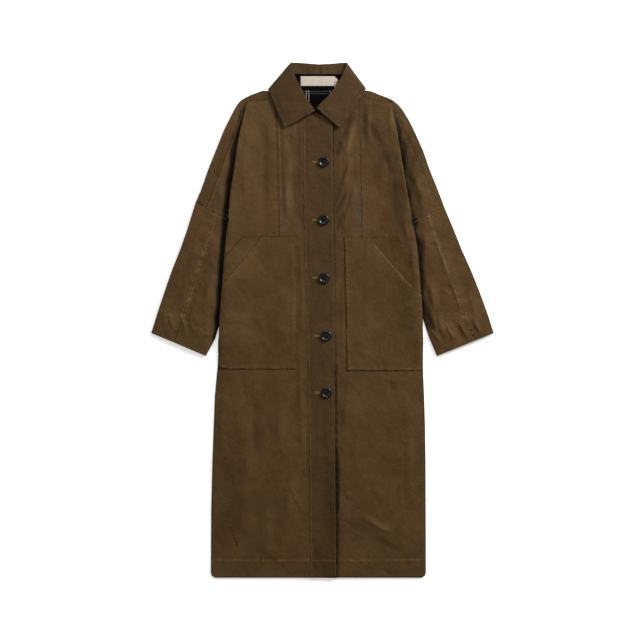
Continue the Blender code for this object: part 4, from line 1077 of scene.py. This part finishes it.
def turnedButton(look):
    body = bmesh.new()
    ring = [body.verts.new((x * mm, 0, z * mm)) for x, z in look["profile"]]
    edges = [body.edges.new(pair) for pair in zip(ring, ring[1:])]
    bmesh.ops.spin(body, geom=ring + edges, cent=(0, 0, 0), axis=(0, 0, 1), angle=math.tau,
                   steps=look["sides"], use_merge=True)
    bmesh.ops.remove_doubles(body, verts=body.verts, dist=1e-6)
    bmesh.ops.recalc_face_normals(body, faces=body.faces)
    drills = bmesh.new()
    for sx in (-1, 1):
        for sy in (-1, 1):
            made = bmesh.ops.create_cone(drills, cap_ends=True, segments=14, radius1=look["holeRadius"] * mm,
                                         radius2=look["holeRadius"] * mm, depth=4 * look["thick"] * mm)
            shift = (sx * look["holeSpacing"] * mm, sy * look["holeSpacing"] * mm, 0)
            bmesh.ops.translate(drills, vec=shift, verts=made["verts"])
    made = []
    for name, bm in (("button_blank", body), ("button_drills", drills)):
        item = bpy.data.objects.new(name, meshFrom(bm, name))
        bpy.context.scene.collection.objects.link(item)
        made.append(item)
    cut = made[0].modifiers.new("holes", "BOOLEAN")
    cut.object = made[1]
    cut.operation = "DIFFERENCE"
    bpy.context.view_layer.update()
    pierced = bpy.data.meshes.new_from_object(made[0].evaluated_get(bpy.context.evaluated_depsgraph_get()))
    for item in made:
        bpy.data.objects.remove(item)
    return pierced


buttonMesh = turnedButton(buttonLook)
for number in range(1, 6):
    low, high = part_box(f"button_{number}")
    mesh = buttonMesh.copy()
    bm = bmesh.new()
    bm.from_mesh(mesh)
    bmesh.ops.translate(bm, vec=((low[0] + high[0]) / 2, (low[1] + high[1]) / 2, low[2]), verts=bm.verts)
    bm.to_mesh(mesh)
    bm.free()
    piece = dressed(f"button_{number}_turned", mesh, resin)
    piece.data.set_sharp_from_angle(angle=math.radians(50))
    for face in piece.data.polygons:
        face.use_smooth = abs(face.normal.z) < 0.995
    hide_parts(f"button_{number}")

print("stitching")
stitchLook = {"length": 3.2, "pitch": 4.2, "radius": 0.42, "sides": 5, "rise": 0.15}
holeLook = {
    "from": -27.0, "to": -8.5, "pitch": 0.85, "radius": 0.34, "sides": 5,
    "lip": 0.35,             # from the slit to its threads
    "apart": 2.0,            # reach of a thread from the lip
    "barWide": 1.35,         # how much wider the first threads are
}


def surfaceOf(*names):  # the outer surface of finished pieces, with their modifiers
    graph = bpy.context.evaluated_depsgraph_get()
    bm = bmesh.new()
    for name in names:
        mesh = bpy.data.meshes.new_from_object(pieces[name].evaluated_get(graph))
        bm.from_mesh(mesh)
        bpy.data.meshes.remove(mesh)
    tree = BVHTree.FromBMesh(bm)
    bm.free()
    return tree


def bar(bm, start, end, radius, sides):  # one short run of thread between two places, in metres
    along = end - start
    matrix = along.to_track_quat("Z", "Y").to_matrix().to_4x4()
    matrix.translation = (start + end) / 2
    bmesh.ops.create_cone(bm, cap_ends=True, segments=sides, radius1=radius * mm, radius2=radius * mm,
                          depth=along.length, matrix=matrix)


def stitchRow(bm, tree, line, offset, look):
    for start, end, length, before in runs(line):
        way = (end - start) / length
        side = np.array((way[1], -way[0])) * offset
        for k in range(int(length // look["pitch"])):
            at = start + way * ((k + 0.5) * look["pitch"]) + side
            ends = [at - way * look["length"] / 2, at + way * look["length"] / 2]
            tops = [topAt(tree, x * mm, y * mm) for x, y in ends]
            if None in tops or abs(tops[0].z - tops[1].z) > 0.0012:
                continue
            for top in tops:
                top.z += look["rise"] * mm
            bar(bm, *tops, look["radius"], look["sides"])


def threadPiece(name, bm, material):
    piece = dressed(name, meshFrom(bm, name), material)
    return piece


bpy.context.view_layer.update()
stitched = {
    "front_left": (["front_left"], frontSeams["left"]),
    "front_right": (["front_right"], frontSeams["right"]),
    "placket": (["placket"], placketSeams),
    "collar": (["collar_leaf"], leafSeams),
    "stand": (["collar_stand"], standSeams),
}
for side in sides:
    stitched[f"pocket_{side}"] = ([f"pocket_{side}_front"], pocketSeams[side])
    stitched[f"sleeve_{side}"] = ([f"sleeve_{side}_outer", f"sleeve_{side}_inner"], sleeveSeams[side])
for name, (carriers, seams) in stitched.items():
    tree = surfaceOf(*carriers)
    bm = bmesh.new()
    for seam in seams:
        for offset in seam.get("rows", ()):
            stitchRow(bm, tree, seam["line"], offset, stitchLook)
    threadPiece(f"{name}_stitches", bm, seamThread)

placketTop = surfaceOf("placket")
bm = bmesh.new()
slitShadows = bmesh.new()
crosses = bmesh.new()
for number in range(1, 6):
    low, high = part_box(f"button_{number}")
    cx, cy = (low[0] + high[0]) / 2, (low[1] + high[1]) / 2
    count = int((holeLook["to"] - holeLook["from"]) // holeLook["pitch"])
    for k in range(count + 1):
        x = cx + (holeLook["from"] + k * holeLook["pitch"]) * mm
        wide = holeLook["barWide"] if k < 3 else 1.0
        for sign in (-1, 1):
            near = topAt(placketTop, x, cy + sign * holeLook["lip"] * mm)
            far = topAt(placketTop, x, cy + sign * (holeLook["lip"] + holeLook["apart"] * wide) * mm)
            if near and far:
                near.z += 0.15 * mm
                far.z += 0.05 * mm
                bar(bm, near, far, holeLook["radius"], holeLook["sides"])
    # a dark bar along each slit is the painted shadow in its opening
    ends = [topAt(placketTop, cx + x * mm, cy) for x in (holeLook["from"] + 1, holeLook["to"])]
    for end in ends:
        end.z += 0.1 * mm
    bar(slitShadows, *ends, 0.4, 6)
    top = low[2] + 2.1 * mm
    apart = buttonLook["holeSpacing"] * mm
    for sign in (-1, 1):
        y = cy + sign * apart
        bar(crosses, Vector((cx - apart, y, top)), Vector((cx + apart, y, top)), 0.55, 6)
threadPiece("buttonhole_threads", bm, holeThread)
threadPiece("buttonhole_slit_shadows", slitShadows, blackThreadAndSlitShadow)
threadPiece("button_threads", crosses, blackThreadAndSlitShadow)

print("studio")
floorLook = {"size": 7.0, "pale": tone(0.93, 0.93, 0.925), "glow": 0.4}
bm = bmesh.new()
bmesh.ops.create_grid(bm, x_segments=2, y_segments=2, size=floorLook["size"] / 2)
mesh = meshFrom(bm, "studio_floor")
s = Shading("studio_floor")
s.surface.inputs["Emission Color"].default_value = floorLook["pale"]
s.surface.inputs["Emission Strength"].default_value = floorLook["glow"]
mesh.materials.append(s.finish(Base_Color=floorLook["pale"], Roughness=0.9))
floor = bpy.data.objects.new("studio_floor", mesh)
floor.location = (0, 0, -0.3 * mm)
bpy.context.scene.collection.objects.link(floor)

lights = {
    "key": {"at": (2.5, 2.1, 1.8), "size": 0.8, "power": 179.0},
    "overhead": {"at": (0.0, 2.4, 2.7), "size": 1.6, "power": 33.0},
    "left": {"at": (-2.6, 0.9, 1.5), "size": 1.2, "power": 10.0},
}
for name, look in lights.items():
    lamp = bpy.data.lights.new(name, "AREA")
    lamp.shape = "SQUARE"
    lamp.size = look["size"]
    lamp.energy = look["power"]
    item = bpy.data.objects.new(name, lamp)
    item.location = look["at"]
    item.rotation_euler = (Vector((0, 0, 0)) - Vector(look["at"])).to_track_quat("-Z", "Y").to_euler()
    bpy.context.scene.collection.objects.link(item)
world = bpy.data.worlds.new("studio")
world.use_nodes = True
room = {"Color": tone(1, 1, 1), "Strength": 0.355}
for name, value in room.items():
    world.node_tree.nodes["Background"].inputs[name].default_value = value
bpy.context.scene.world = world
bpy.context.scene.view_settings.view_transform = "Standard"
